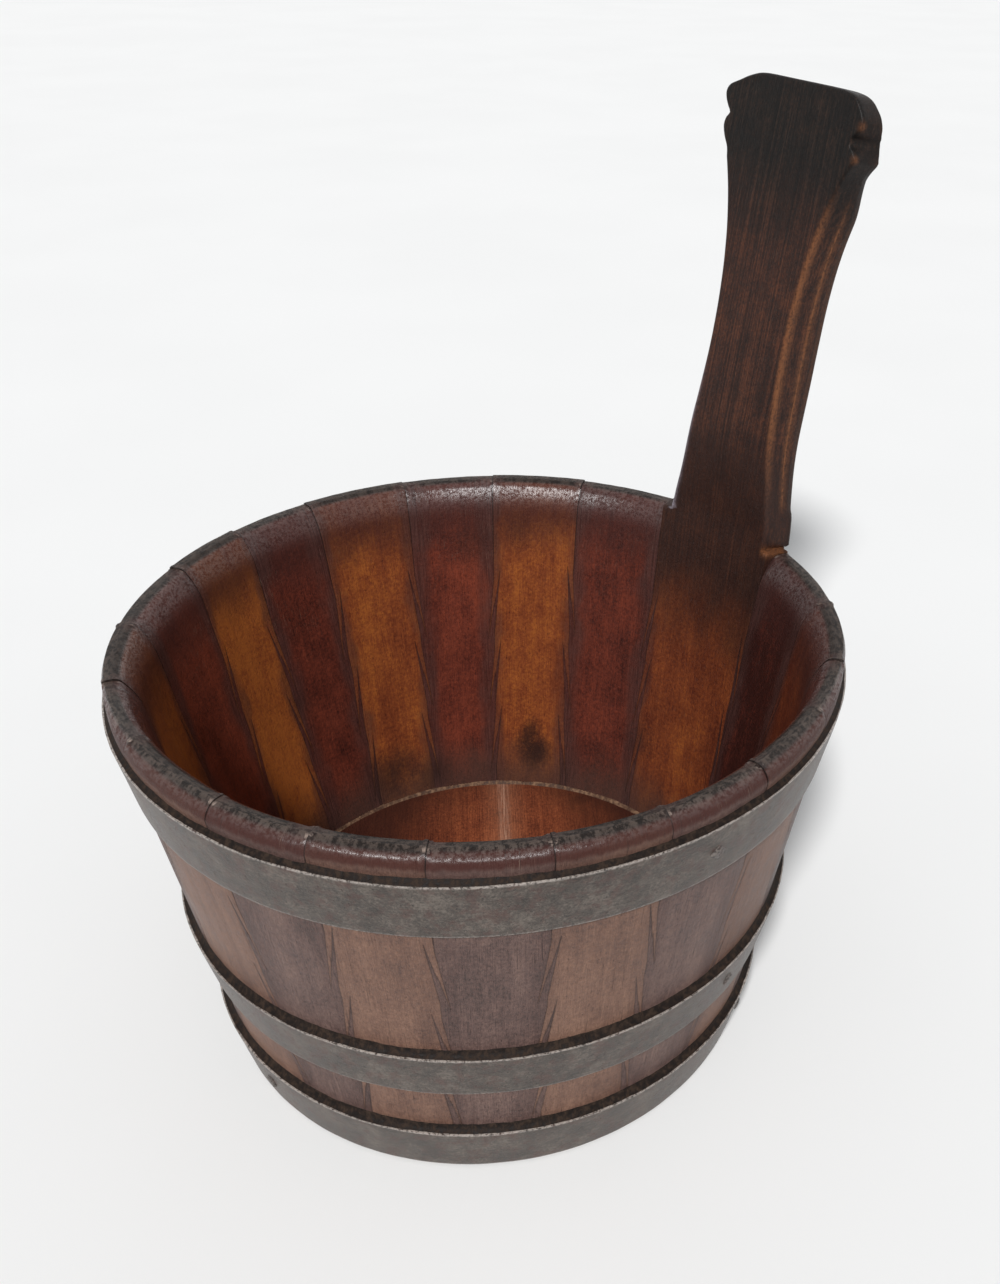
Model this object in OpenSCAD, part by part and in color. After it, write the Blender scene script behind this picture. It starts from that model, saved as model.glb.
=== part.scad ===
// A coopered piggin: a small staved bucket with one stave prolonged into a handle.
// Light and dark staves alternate round a single bottom board, and fine feathers cut
// on each stave's edges interlock with its neighbours. Three riveted iron hoops bind it.
// +Z is up, the handle stands towards +X, and the ground is at z = 0. The origin is the
// middle of the ground that the whole piece covers, handle included.

/* [Bucket] */
// Outer diameter across the rim
rim_d = 250; // [220:1:280]
// Outer diameter across the feet of the staves
foot_d = 186.4; // [170:0.2:200]
// Height of the rim above the ground
bucket_h = 148.6; // [130:0.2:180]
// Thickness of the wall, measured level
wall_t = 10; // [8:0.5:12]
// Round-over of the rim on the outside
rim_round_out = 1; // [1:0.25:4]
// Round-over of the rim on the inside, above the bevel
rim_round_in = 1.25; // [0.5:0.25:2]
// Height of the soft bevel inside the rim
rim_bevel_h = 13; // [9:0.5:16]
// Depth of that bevel at the rim's top
rim_bevel_d = 4.2; // [2:0.1:5]
// Height of the bevel inside the feet, below the bottom board
foot_bevel_h = 4; // [1:0.5:5]
// Width of the bevel inside the feet
foot_bevel_w = 3; // [1:0.5:5]
// Worn edge outside the feet
foot_edge = 0.8; // [0.4:0.1:1]

/* [Staves] */
// Width along the rim of the stave that carries the handle, beside the others' widths
handle_stave_w = 64; // [56:1:72]
// Widest step down of a stave's top below the rim's height
stave_drop = 0.7; // [0:0.1:1.5]
// Length of one feather
feather_len = 27; // [18:1:28]
// Spacing of the feathers that one stave puts into a neighbour
feather_pitch = 31; // [31:0.5:36]
// Most that a feather is moved up or down from its even place, as by hand
feather_stray = 2; // [0:0.2:2]
// Reach of a feather's tip into the neighbour
feather_reach = 2.8; // [1.5:0.1:3.6]
// Height of the lowest feather's root above the ground
feather_low = 24; // [22:1:30]
// Least height from a feather's root to the rim
feather_top_gap = 60; // [50:1:70]

/* [Bottom board] */
// Height of the board's upper face above the ground
floor_h = 16.5; // [14:0.5:22]
// Thickness of the board in its middle
board_t = 9.5; // [8:0.5:11]
// Thickness of the board's edge where it enters the groove
board_edge_t = 5; // [3:0.5:6]
// Width of the bevel under the board's edge
board_bevel_w = 14; // [8:1:24]
// Depth of the groove in the staves
groove_depth = 4; // [3:0.5:5]
// Clearance between the board's edge and the groove
board_gap = 0.15; // [0.1:0.05:0.4]

/* [Hoops] */
// Thickness of the hoop iron
hoop_t = 1.4; // [1:0.1:2]
// Clearance between a hoop's lower edge and the staves
hoop_gap = 0.1; // [0.05:0.05:0.3]
// Worn edges of the hoops
hoop_edge = 0.35; // [0.2:0.05:0.5]
// Width of the top hoop
top_hoop_w = 22.4; // [18:0.2:26]
// Distance of the top hoop's upper edge below the rim
top_hoop_drop = 9.2; // [8:0.2:20]
// Distance by which the top hoop's upper edge stands off the staves
top_hoop_off = 0.9; // [0.4:0.1:1.5]
// Width of the middle hoop
middle_hoop_w = 19.4; // [15:0.2:24]
// Height of the middle hoop's lower edge
middle_hoop_h = 41.2; // [36:0.2:60]
// Distance by which the middle hoop's upper edge stands off the staves
middle_hoop_off = 1.5; // [0.5:0.1:2]
// Width of the bottom hoop
bottom_hoop_w = 19.4; // [15:0.2:24]
// Height of the bottom hoop's lower edge
bottom_hoop_h = 1.2; // [1:0.1:3]
// Distance by which the bottom hoop's upper edge stands off the staves
bottom_hoop_off = 1.5; // [0.5:0.1:2]
// Length of the lap where a hoop's ends are riveted together
lap_len = 34; // [26:1:50]
// Step of the lapped end above the rest of its hoop
lap_step = 0.6; // [0.3:0.1:1]

/* [Rivets and nails] */
// Diameter of a rivet's head
rivet_head_d = 7; // [5:0.5:9]
// Height of a rivet's head
rivet_head_h = 1.1; // [0.6:0.1:1.6]
// Diameter of a rivet's shank
rivet_d = 3.2; // [2:0.2:4]
// Width of a nail's square head
nail_head_w = 4.4; // [3:0.2:6]
// Height of a nail's head
nail_head_h = 0.9; // [0.5:0.1:1.5]
// Width of a nail's square shank
nail_w = 2; // [1.4:0.1:2.4]
// Length of a nail below its hoop
nail_depth = 4.6; // [3.5:0.1:5]
// Clearance round a rivet, a nail and under their heads
fixing_gap = 0.1; // [0.05:0.05:0.2]

/* [Handle] */
// Length of the handle from the rim to its top, along its lean
handle_len = 176; // [150:1:200]
// Shoulder on each side where the handle leaves the rim
shoulder_w = 2.6; // [2:0.2:5]
// Narrowest width of the handle, across its front face
waist_w = 37.6; // [32:0.2:44]
// Height of the waist above the rim
waist_h = 75; // [60:1:90]
// Width across the lower lips of the head
lip_w = 66.8; // [60:0.2:72]
// Width across the notches between the lips and the lobes
notch_w = 60.8; // [54:0.2:66]
// Width across the upper lobes of the head
lobe_w = 70.8; // [64:0.2:76]
// Depth of the lips below the handle's top
lip_drop = 23; // [21:0.5:26]
// Depth of the notches below the handle's top
notch_drop = 17.5; // [15:0.5:19]
// Depth of the lobes below the handle's top
lobe_drop = 10; // [7:0.5:12]
// Fall of the head's top towards its corners
crown_drop = 5; // [3:0.5:8]
// Thickness of the handle's edges just above the rim
collar_t = 13; // [11:0.25:14.5]
// Thickness of the handle's edges at the waist
waist_t = 17; // [13:0.5:19]
// Thickness of the handle's edges at the neck
neck_t = 15.4; // [11:0.2:17]
// Thickness of the handle's edges at the lips of the head
head_t = 12.4; // [10:0.2:15]
// Thickness of the handle's edges at its very top
top_t = 8.6; // [7:0.2:12]
// Swell of the handle's back above its edges
back_swell = 1.5; // [0.5:0.1:3]
// How far the grip's middle line lies to the left of the stave's own, as worked by hand
grip_shift = 2.2; // [0:0.1:4]
// How much wider the back is than the front just above the rim, on each side
root_flare = 3.4; // [2:0.1:4]
// How much wider the back is than the front from the waist to the neck, on each side
waist_flare = 4.2; // [2:0.1:5]
// How much wider the back is than the front at the head, on each side
head_flare = 1.2; // [0:0.1:2]
// Depth from the front at which the chamfer on each back edge begins
chamfer_depth = 11; // [8:0.5:12]
// Width taken off each back edge by the chamfer
chamfer_w = 0.8; // [0.6:0.1:2]
// Height above the rim at which the chamfer stops
chamfer_stop = 14; // [8:1:30]
// Rounding of the handle's front edges
arris = 1.2; // [0.6:0.1:2]

/* [Hidden] */
// Widths along the rim of the staves after the handle's, going round clockwise from above
stave_widths = [41, 40, 32, 38, 37, 35, 35, 34, 34, 45, 37, 37, 42, 34, 35, 43, 39, 40, 42];
// How far each stave's top lies below the rim, as a share of stave_drop, handle stave first
stave_steps = [0, 1, 0.3, 0.9, 0.1, 0.8, 0.2, 0.7, 0, 0.6, 0.2, 1, 0.1, 0.8, 0, 0.9, 0.2, 0.7, 0.1, 0.9];
// Slant of each joint from upright, in degrees, joint at the handle's right side first
joint_slants = [0, 0, 0, 0, 0, 0, 0, 0, 0, 0, 0, 0, -1.8, -3, -1.8, -2.6, 0, 0, 0, -2];
stave_count = len(stave_widths) + 1;
all_widths = concat([handle_stave_w], stave_widths);

rim_r = rim_d / 2;
foot_r = foot_d / 2;
slope = (rim_r - foot_r) / bucket_h;
lean = atan(slope);
arc_steps = 5;
bevel_steps = 5;
bevel_power = 2.2;
turn = 360;
// Feathers: how far a root runs back past the joint, the share of the length that is root,
// where those that point down start as a share of the length, and what strews them
feather_root = 0.5;
root_share = 0.42;
down_start = 0.9;
stray_turn = 137;

// Radii of the wall's two faces at a height
function outer_r(z) = foot_r + z * slope;
function inner_r(z) = outer_r(z) - wall_t;
// Radius of the bevel inside a rim whose top is at height h
function bevel_r(z, h) = inner_r(z) + rim_bevel_d * pow(max(0, 1 - (h - z) / rim_bevel_h), bevel_power);
function sum_of(v, n) = n <= 0 ? 0 : v[n - 1] + sum_of(v, n - 1);
function ease(x) = let(u = min(1, max(0, x))) u * u * (3 - 2 * u);
function mix(a, b, u) = a + (b - a) * u;

// Azimuth of joint k. Joint 0 is at the handle's right side, seen from inside the bucket.
width_sum = sum_of(all_widths, stave_count);
handle_half = turn / 2 * handle_stave_w / width_sum;
function joint_a(k) = -handle_half - turn * sum_of(stave_widths, k) / width_sum;
function joint_before(k) = (k + stave_count - 1) % stave_count;
function stave_name(k) = str("stave_", k < 10 ? "0" : "", k);
function is_light(k) = k % 2 == 0;

// The bottom board and its groove
groove_r = inner_r(floor_h) + groove_depth;
groove_low = floor_h - board_edge_t;

// Hoops: lower edge, width, stand-off, and azimuth of the lap, each in the order of hoop_names
hoop_names = ["top_hoop", "middle_hoop", "bottom_hoop"];
hoop_low = [bucket_h - top_hoop_drop - top_hoop_w, middle_hoop_h, bottom_hoop_h];
hoop_wide = [top_hoop_w, middle_hoop_w, bottom_hoop_w];
hoop_off = [top_hoop_off, middle_hoop_off, bottom_hoop_off];
lap_a = [62, 84, 104];
// Nails through each hoop: azimuth, height as a share of the hoop's width, quarter-turn of the
// head in degrees, and width of the head as a share of nail_head_w
hoop_nails = [
    [[-93, 0.5, 45, 1]],
    [[-79, 0.52, 0, 0.6], [162, 0.55, 0, 0.8]],
    [[-61, 0.4, 0, 0.6], [-175, 0.5, 0, 0.7]]
];

// Handle: everything is measured from the plane through the handle stave's inner edges at the rim
front_x = inner_r(bucket_h) * cos(handle_half);
root_half = inner_r(bucket_h) * sin(handle_half) - shoulder_w;
lip_t = handle_len - lip_drop;
notch_t = handle_len - notch_drop;
lobe_t = handle_len - lobe_drop;
neck_pos = mix(waist_h, lip_t, 0.65);
root_depth = rim_bevel_h + 2;
root_inset = 2.5;
root_rise = 4;
root_proud = 0.15;
flat_t = 45;
root_power = 1.6;
neck_power = 2.4;
root_edge_t = 11.2;
root_edge_rise = 12;
shift_start = 5;
shift_rise = 40;
chamfer_start = 3;
chamfer_fade = 12;
chamfer_arris = 0.4;
ridge_w = 1;
peak_share = 0.5;
crown_slope = 0.05;
shaft_steps = 30;
head_steps = 18;
across_steps = 8;
top_round = 1.6;
corner_pull = 2.4;

// How far one wing of the front face reaches from the middle at height t
function half_w(t) =
    t < waist_h ? mix(waist_w / 2, root_half, pow(max(0, waist_h - max(t, 0)) / waist_h, root_power)) :
    t < lip_t ? mix(waist_w / 2, lip_w / 2, pow((t - waist_h) / (lip_t - waist_h), neck_power)) :
    t < notch_t ? mix(lip_w / 2, notch_w / 2, ease((t - lip_t) / (notch_t - lip_t))) :
    t < lobe_t ? mix(notch_w / 2, lobe_w / 2, ease((t - notch_t) / (lobe_t - notch_t))) :
    lobe_w / 2 - corner_pull * pow((t - lobe_t) / (handle_len - lobe_t), 2);

// Depth of the wall's faces behind the front plane, s sideways from the middle, at height t
function wall_depth(r, s, t) = (sqrt(pow(r + t * sin(lean), 2) - s * s) - front_x - t * sin(lean)) * cos(lean);
function front_d(s, t) =
    (wall_depth(rim_r - wall_t, s, min(t, 0)) - root_proud) * (1 - ease(t / flat_t));
function edge_t(t) =
    t < root_edge_rise ? mix(root_edge_t, collar_t, ease(t / root_edge_rise)) :
    t < waist_h ? mix(collar_t, waist_t, ease((t - root_edge_rise) / (waist_h - root_edge_rise))) :
    t < neck_pos ? mix(waist_t, neck_t, ease((t - waist_h) / (neck_pos - waist_h))) :
    t < lip_t ? mix(neck_t, head_t, ease((t - neck_pos) / (lip_t - neck_pos))) :
    mix(head_t, top_t, (t - lip_t) / (handle_len - lip_t));
// Depth of the back at a share u of the way from the middle to the edge
function back_d(u, t) = edge_t(t) + mix(2 * back_swell, back_swell, ease(t / flat_t)) * (1 - u * u);
// How much wider the back is than the front on each side, and what the chamfer takes off it
function flare(t) =
    t < waist_h ? mix(root_flare, waist_flare, ease(t / waist_h)) :
    mix(waist_flare, head_flare, ease((t - neck_pos) / (lip_t - neck_pos)));
function chamfer(t) =
    chamfer_w * ease((t - chamfer_stop) / chamfer_start) * ease((lip_t - t) / chamfer_fade);
function middle_s(t) = grip_shift * ease((t - shift_start) / shift_rise);

// Fall of the top line, highest a little left of the middle
function crown(s) =
    crown_slope * abs(s - peak_share * lobe_w / 2) + crown_drop * pow(abs(s) / (lobe_w / 2 - 1), 8);

// One level ring of the handle, as [sideways, depth, height], going round from the front.
// front_inset moves the front face back, and inset all other faces in.
function handle_ring(t, inset, front_inset) =
    let(
        w = half_w(t) - inset,
        c = chamfer(t),
        b = w + flare(t) - c,
        ridge = min(chamfer_depth, edge_t(t) - arris - inset - ridge_w),
        widen = flare(t) / edge_t(t),
        lift = ease((t - notch_t) / (handle_len - notch_t)),
        front = [for (i = [0:across_steps]) let(s = mix(-1, 1, i / across_steps) * (w - arris))
            [s, front_d(s, t) + front_inset]],
        right = [
            [w, front_d(w, t) + arris + front_inset],
            [w + widen * (ridge - ridge_w), ridge - ridge_w],
            [w + widen * ridge - min(c, chamfer_arris), ridge],
            [b, edge_t(t) - arris - inset]
        ],
        back = [for (i = [across_steps:-1:0]) let(u = mix(-1, 1, i / across_steps))
            [u * (b - arris), back_d(u, t) - inset]],
        left = [for (i = [len(right) - 1:-1:0]) [-right[i][0], right[i][1]]]
    )
    [for (p = concat(front, right, back, left)) [p[0] + middle_s(t), p[1], t - lift * crown(p[0])]];

// Heights of the rings, closer together in the head, each with its inset and front inset: they
// sink the root into the wall, whose bevel its front face covers, and they round the top edge
ring_levels = concat(
    [[-root_depth, root_inset, root_inset], [-rim_bevel_h, root_inset, 0], [-root_rise, root_inset / 2, 0]],
    [for (i = [0:shaft_steps]) [lip_t * i / shaft_steps, 0, 0]],
    [for (i = [1:head_steps]) [mix(lip_t, handle_len - top_round, i / head_steps), 0, 0]],
    [for (a = [30, 60, 90]) let(inset = top_round * (1 - cos(a)))
        [handle_len - top_round * (1 - sin(a)), inset, inset]]
);

// A point of the handle in the bucket's own frame
function on_handle(p) = [
    front_x + p[2] * sin(lean) + p[1] * cos(lean),
    p[0],
    bucket_h + p[2] * cos(lean) - p[1] * sin(lean)
];

// The bucket's axis lies behind the origin, so that the origin is the middle of the whole
handle_reach = front_x + (handle_len - top_round) * sin(lean) + (top_t + back_swell) * cos(lean);
hoop_reach = outer_r(bucket_h - top_hoop_drop) + hoop_gap + top_hoop_off + hoop_t;
axis_x = -(handle_reach - hoop_reach) / 2;

$fn = 96;

module on_axis() {
    translate([axis_x, 0, 0]) children();
}

// The wall as a turned ring with its top at height h
module wall_ring(h) {
    rotate_extrude()
        polygon(concat(
            [[foot_r - foot_edge, 0], [outer_r(foot_edge), foot_edge]],
            [for (i = [0:arc_steps]) let(a = 90 * i / arc_steps, z = h - rim_round_out * (1 - sin(a)))
                [outer_r(z) - rim_round_out * (1 - cos(a)), z]],
            [for (i = [arc_steps:-1:0]) let(a = 90 * i / arc_steps, z = h - rim_round_in * (1 - sin(a)))
                [bevel_r(z, h) + rim_round_in * (1 - cos(a)), z]],
            [for (i = [1:bevel_steps]) let(z = h - mix(rim_round_in, rim_bevel_h, i / bevel_steps))
                [bevel_r(z, h), z]],
            [
                [inner_r(floor_h + board_gap), floor_h + board_gap],
                [groove_r + board_gap, floor_h + board_gap],
                [groove_r + board_gap, groove_low - board_gap],
                [inner_r(groove_low - board_gap), groove_low - board_gap],
                [inner_r(foot_bevel_h), foot_bevel_h],
                [inner_r(0) + foot_bevel_w, 0]
            ]
        ));
}

// Joint k's own frame: x runs out along the joint, y goes round, z is up with its slant
module at_joint(k) {
    rotate([0, 0, joint_a(k)])
        translate([0, 0, bucket_h])
            rotate([joint_slants[k], 0, 0])
                translate([0, 0, -bucket_h])
                    children();
}

// All that lies on one side of joint k: side 1 is the side of stave k, side -1 the next stave's
module beside_joint(k, side) {
    size = 3 * rim_r;
    at_joint(k)
        translate([-size / 2, side > 0 ? 0 : -size, -size / 2])
            cube(size);
}

// The feathers that the stave on the other side puts into the given side of joint k.
// Those of the dark staves point up and those of the light staves point down.
module feathers(k, side) {
    giver = side > 0 ? k + 1 : k;
    up = is_light(giver) ? -1 : 1;
    start = feather_low + (is_light(giver) ? feather_len * down_start : 0);
    for (i = [0:floor((bucket_h - feather_top_gap - feather_low) / feather_pitch)]) {
        stray = feather_stray * sin(stray_turn * (k + 3 * i));
        at_joint(k)
            translate([inner_r(0) / 2, 0, start + feather_pitch * i + stray])
                rotate([90, 0, 90])
                    linear_extrude(rim_r)
                        polygon([
                            [-side * feather_root, 0],
                            [0, 0],
                            [side * feather_reach, up * feather_len],
                            [0, up * feather_len * root_share],
                            [-side * feather_root, up * feather_len * root_share]
                        ]);
    }
}

// The place of stave k: its wedge with its own feathers added and its neighbours' cut out
module stave_room(k) {
    before = joint_before(k);
    difference() {
        union() {
            intersection() {
                beside_joint(before, -1);
                beside_joint(k, 1);
            }
            feathers(k, -1);
            feathers(before, 1);
        }
        feathers(k, 1);
        feathers(before, -1);
    }
}

// True where azimuth a lies within stave k
function in_stave(a, k) =
    let(d = (joint_a(k) + all_widths[k] * turn / width_sum - a + 2 * turn) % turn)
    d < all_widths[k] * turn / width_sum;

module nail_holes(k) {
    for (h = [0:len(hoop_names) - 1])
        for (n = hoop_nails[h])
            if (in_stave(n[0], k))
                at_hoop(h, n[0], n[1])
                    shank(nail_w + 2 * fixing_gap, nail_depth + hoop_t + 2 * fixing_gap);
}

module stave_body(k) {
    difference() {
        intersection() {
            wall_ring(bucket_h - stave_drop * stave_steps[k]);
            stave_room(k);
        }
        nail_holes(k);
    }
}

module stave(k) {
    color(is_light(k) ? "chocolate" : "saddlebrown")
        stave_body(k);
}

// The shaped grip, lofted through rings from inside the wall up to the head. A ring has its
// front points first, then the right side's, the back's and the left side's.
module grip() {
    rings = [for (l = ring_levels) handle_ring(l[0], l[1], l[2])];
    n = len(rings[0]);
    m = len(rings);
    front_n = across_steps + 1;
    side_n = n / 2 - front_n;
    back_at = front_n + side_n;
    back_end = back_at + across_steps;
    // Triangles that close a ring: strips from front to back, and a fan at each side
    cap = concat(
        [for (i = [0:across_steps - 1]) each [
            [i, i + 1, back_end - i],
            [i + 1, back_end - i - 1, back_end - i]
        ]],
        [for (i = [front_n:back_at - 1]) [across_steps, i, i + 1]],
        [for (i = [back_end:n - 2]) [0, i, i + 1]]
    );
    polyhedron(
        points = [for (r = rings) for (p = r) on_handle(p)],
        faces = concat(
            [for (f = cap) [f[2], f[1], f[0]]],
            [for (j = [0:m - 2]) for (i = [0:n - 1]) each [
                [j * n + i, j * n + (i + 1) % n, (j + 1) * n + i],
                [j * n + (i + 1) % n, (j + 1) * n + (i + 1) % n, (j + 1) * n + i]
            ]],
            [for (f = cap) [for (i = f) (m - 1) * n + i]]
        )
    );
}

module handle_stave() {
    color("chocolate") {
        stave_body(0);
        grip();
    }
}

module bottom_board() {
    low = floor_h - board_t;
    color("brown")
        rotate_extrude()
            polygon([
                [0, low],
                [inner_r(floor_h) - board_bevel_w, low],
                [inner_r(groove_low) - 1, groove_low],
                [groove_r, groove_low],
                [groove_r, floor_h],
                [0, floor_h]
            ]);
}

// Height and outer radius of hoop h at a share u of its width
function hoop_z(h, u) = hoop_low[h] + u * hoop_wide[h];
function hoop_r(h, u) = outer_r(hoop_z(h, u)) + hoop_gap + hoop_t + hoop_off[h] * u;

module hoop_section(h) {
    polygon([
        [hoop_r(h, 0) - hoop_t, hoop_z(h, 0)],
        [hoop_r(h, 0) - hoop_edge, hoop_z(h, 0)],
        [hoop_r(h, 0), hoop_z(h, 0) + hoop_edge],
        [hoop_r(h, 1), hoop_z(h, 1) - hoop_edge],
        [hoop_r(h, 1) - hoop_edge, hoop_z(h, 1)],
        [hoop_r(h, 1) - hoop_t, hoop_z(h, 1)]
    ]);
}

// The end of hoop h that lies over the other, from the middle of the iron outwards
module lap_section(h) {
    low = 2 * hoop_edge / hoop_wide[h];
    high = 1 - low;
    polygon([
        [hoop_r(h, low) - hoop_t / 2, hoop_z(h, low)],
        [hoop_r(h, low) + lap_step, hoop_z(h, low)],
        [hoop_r(h, high) + lap_step, hoop_z(h, high)],
        [hoop_r(h, high) - hoop_t / 2, hoop_z(h, high)]
    ]);
}

// A place on the outer face of hoop h, with +Z pointing straight out of it
module at_hoop(h, a, u) {
    rotate([0, 0, a])
        translate([hoop_r(h, u), 0, hoop_z(h, u)])
            rotate([0, 90 + atan(slope + hoop_off[h] / hoop_wide[h]), 0])
                children();
}

module shank(w, depth) {
    translate([-w / 2, -w / 2, -depth])
        cube([w, w, depth + hoop_t]);
}

// Turn from the middle of a lap to one of its two rivets
function rivet_turn(h) = lap_len / 4 / hoop_r(h, 0.5) * turn / (2 * PI);

module lapped_hoop(h) {
    lap_turn = 4 * rivet_turn(h);
    color("dimgray")
        difference() {
            union() {
                rotate_extrude() hoop_section(h);
                rotate([0, 0, lap_a[h] - lap_turn / 2])
                    rotate_extrude(angle = lap_turn)
                        lap_section(h);
            }
            for (side = [-1, 1])
                at_hoop(h, lap_a[h] + side * rivet_turn(h), 0.5)
                    translate([0, 0, -2 * hoop_t])
                        cylinder(h = 4 * hoop_t, d = rivet_d + 2 * fixing_gap);
            for (n = hoop_nails[h])
                at_hoop(h, n[0], n[1])
                    shank(nail_w + 2 * fixing_gap, 2 * hoop_t);
        }
}

module rivet() {
    cylinder(h = rivet_head_h * 0.4, d = rivet_head_d);
    translate([0, 0, rivet_head_h * 0.4])
        cylinder(h = rivet_head_h * 0.6, d1 = rivet_head_d, d2 = rivet_head_d * 0.55);
    translate([0, 0, -hoop_t - lap_step])
        cylinder(h = hoop_t + lap_step + rivet_head_h * 0.4, d = rivet_d);
}

module nail(head_angle, head_share) {
    rotate([0, 0, head_angle])
        translate([-nail_head_w / 2, -nail_head_w * head_share / 2, 0])
            cube([nail_head_w, nail_head_w * head_share, nail_head_h]);
    translate([-nail_w / 2, -nail_w / 2, -nail_depth - hoop_t])
        cube([nail_w, nail_w, nail_depth + hoop_t + nail_head_h / 2]);
}

module hoop_fixings(h) {
    color("gray") {
        for (side = [-1, 1])
            at_hoop(h, lap_a[h] + side * rivet_turn(h), 0.5)
                translate([0, 0, lap_step + fixing_gap])
                    rivet();
        for (n = hoop_nails[h])
            at_hoop(h, n[0], n[1])
                translate([0, 0, fixing_gap])
                    nail(n[2], n[3]);
    }
}

on_axis() handle_stave();
for (k = [1:stave_count - 1])
    on_axis() stave(k);
on_axis() bottom_board();
for (h = [0:len(hoop_names) - 1]) {
    on_axis() lapped_hoop(h);
    on_axis() hoop_fixings(h);
}
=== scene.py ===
"""The looks of a coopered piggin: feathered staves, a shaped handle stave, iron hoops, worn edges (some of
them painted highlights) and grime.

Lengths inside the mesh functions are millimetres in the bucket's own frame, whose z axis is the
bucket's axis. `to_frame` moves them to the shared frame in metres.
"""

import math

import bpy
import numpy as np
from mathutils import Matrix, Vector, noise
from mathutils.geometry import delaunay_2d_cdt


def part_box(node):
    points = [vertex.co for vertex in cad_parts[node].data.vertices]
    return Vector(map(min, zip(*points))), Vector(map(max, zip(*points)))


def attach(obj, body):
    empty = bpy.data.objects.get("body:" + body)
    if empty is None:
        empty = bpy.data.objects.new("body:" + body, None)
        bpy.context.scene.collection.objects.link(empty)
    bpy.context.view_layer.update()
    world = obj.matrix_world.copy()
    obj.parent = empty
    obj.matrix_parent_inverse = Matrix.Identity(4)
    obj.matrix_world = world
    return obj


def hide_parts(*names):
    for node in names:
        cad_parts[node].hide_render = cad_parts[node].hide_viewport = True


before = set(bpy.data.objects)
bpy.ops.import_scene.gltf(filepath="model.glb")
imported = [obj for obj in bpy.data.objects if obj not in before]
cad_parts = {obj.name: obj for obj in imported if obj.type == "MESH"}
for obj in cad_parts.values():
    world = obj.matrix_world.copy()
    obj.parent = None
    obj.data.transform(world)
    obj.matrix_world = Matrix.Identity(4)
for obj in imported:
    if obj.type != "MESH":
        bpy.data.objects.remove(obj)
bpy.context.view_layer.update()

TURN = 2 * math.pi

# Sizes of the bucket, in millimetres
FOOT_R = 93.2
RIM_R = 125.0
HEIGHT = 148.6
WALL = 10.0
SLOPE = (RIM_R - FOOT_R) / HEIGHT
LEAN = math.atan(SLOPE)
ROUND_OUT = 1.0
ROUND_IN = 1.25
FOOT_ROUND = 0.8
FOOT_BEVEL_H = 4.0
FOOT_BEVEL_W = 3.0

# The rim's inner edge is pared away. On the near side it is pared away less, and the outer edge is
# rounded off
RIM_BEVEL_H = 13.0
RIM_BEVEL_D = 4.2
RIM_SHOULDER_H = 5.5
RIM_SHOULDER_D = 4.2
NEAR_A = math.radians(-125)
NEAR_REACH = math.radians(45)
NEAR_BEVEL = 0.3

# The board and the hoops lie where the frame has them
board_low, board_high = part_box("bottom_board")
AXIS_X = (board_low.x + board_high.x) * 500
FLOOR_Z = board_high.z * 1000
BOARD_LOW = board_low.z * 1000
BOARD_R = (board_high.x - board_low.x) * 500
BOARD_EDGE_T = 5.0
BOARD_BEVEL = 14.0
BOARD_GRAIN = math.radians(55)
GROOVE_CLEAR = 0.15
GROOVE = (FLOOR_Z - BOARD_EDGE_T - GROOVE_CLEAR, FLOOR_Z + GROOVE_CLEAR)
HOOP_T = 1.4
HOOP_GAP = 0.1
HOOP_BEVEL = 0.45
HOOP_OFF = {"top_hoop": 0.9, "middle_hoop": 1.5, "bottom_hoop": 1.5}
LAP_A = {"top_hoop": 62, "middle_hoop": 84, "bottom_hoop": 104}
LAP_LEN = 34.0
LAP_STEP = 0.6
LAP_END = 0.002

# Staves, clockwise from the handle's: widths along the rim, how far each top lies below the rim,
# slant of each joint, and how light each is beside others of its wood (0 dark to 1 light). This
# lightness is partly painted shade: staves 1 and 2, beside the handle's right side, are darkened
# where their inner wall gets little light
HANDLE_STAVE_W = 64
STAVE_W = [41, 40, 32, 38, 37, 35, 35, 34, 34, 45, 37, 37, 42, 34, 35, 43, 39, 40, 42]
STAVE_DROP = 0.7
STAVE_STEPS = [0, 1, 0.3, 0.9, 0.1, 0.8, 0.2, 0.7, 0, 0.6, 0.2, 1, 0.1, 0.8, 0, 0.9, 0.2, 0.7, 0.1, 0.9]
JOINT_SLANT = [0] * 12 + [-1.8, -3, -1.8, -2.6, 0, 0, 0, -2]
STAVE_TONES_AND_SHADE = [0.3, -0.6, -0.3, 0.3, 0.5, 0.6, 0.5, 0.5, 0.45, 0.4,
         0.5, 0.5, 0.9, 1.0, 1.0, 0.5, 0.6, 0.65, 0.45, 0.3]
STAVES = len(STAVE_W) + 1
WIDTH_SUM = HANDLE_STAVE_W + sum(STAVE_W)
HANDLE_HALF_A = math.pi * HANDLE_STAVE_W / WIDTH_SUM

# Feathers of the joints
FEATHER_LEN = 27.0
FEATHER_PITCH = 31.0
FEATHER_REACH = 2.8
FEATHER_LOW = 24.0
FEATHER_TOP_GAP = 60.0
FEATHER_ROOT = 0.42
FEATHER_DOWN_START = 0.9
FEATHER_STRAY = 2.0
STRAY_TURN = 137

# Handle
HANDLE_LEN = 176.0
SHOULDER = 2.6
WAIST_HALF = 18.8
WAIST_T = 75.0
LIP_HALF = 33.4
LIP_T = 153.0
GRIP_SHIFT = 2.2
FRONT_X = (RIM_R - WALL) * math.cos(HANDLE_HALF_A)
ROOT_HALF = (RIM_R - WALL) * math.sin(HANDLE_HALF_A) - SHOULDER
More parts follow.
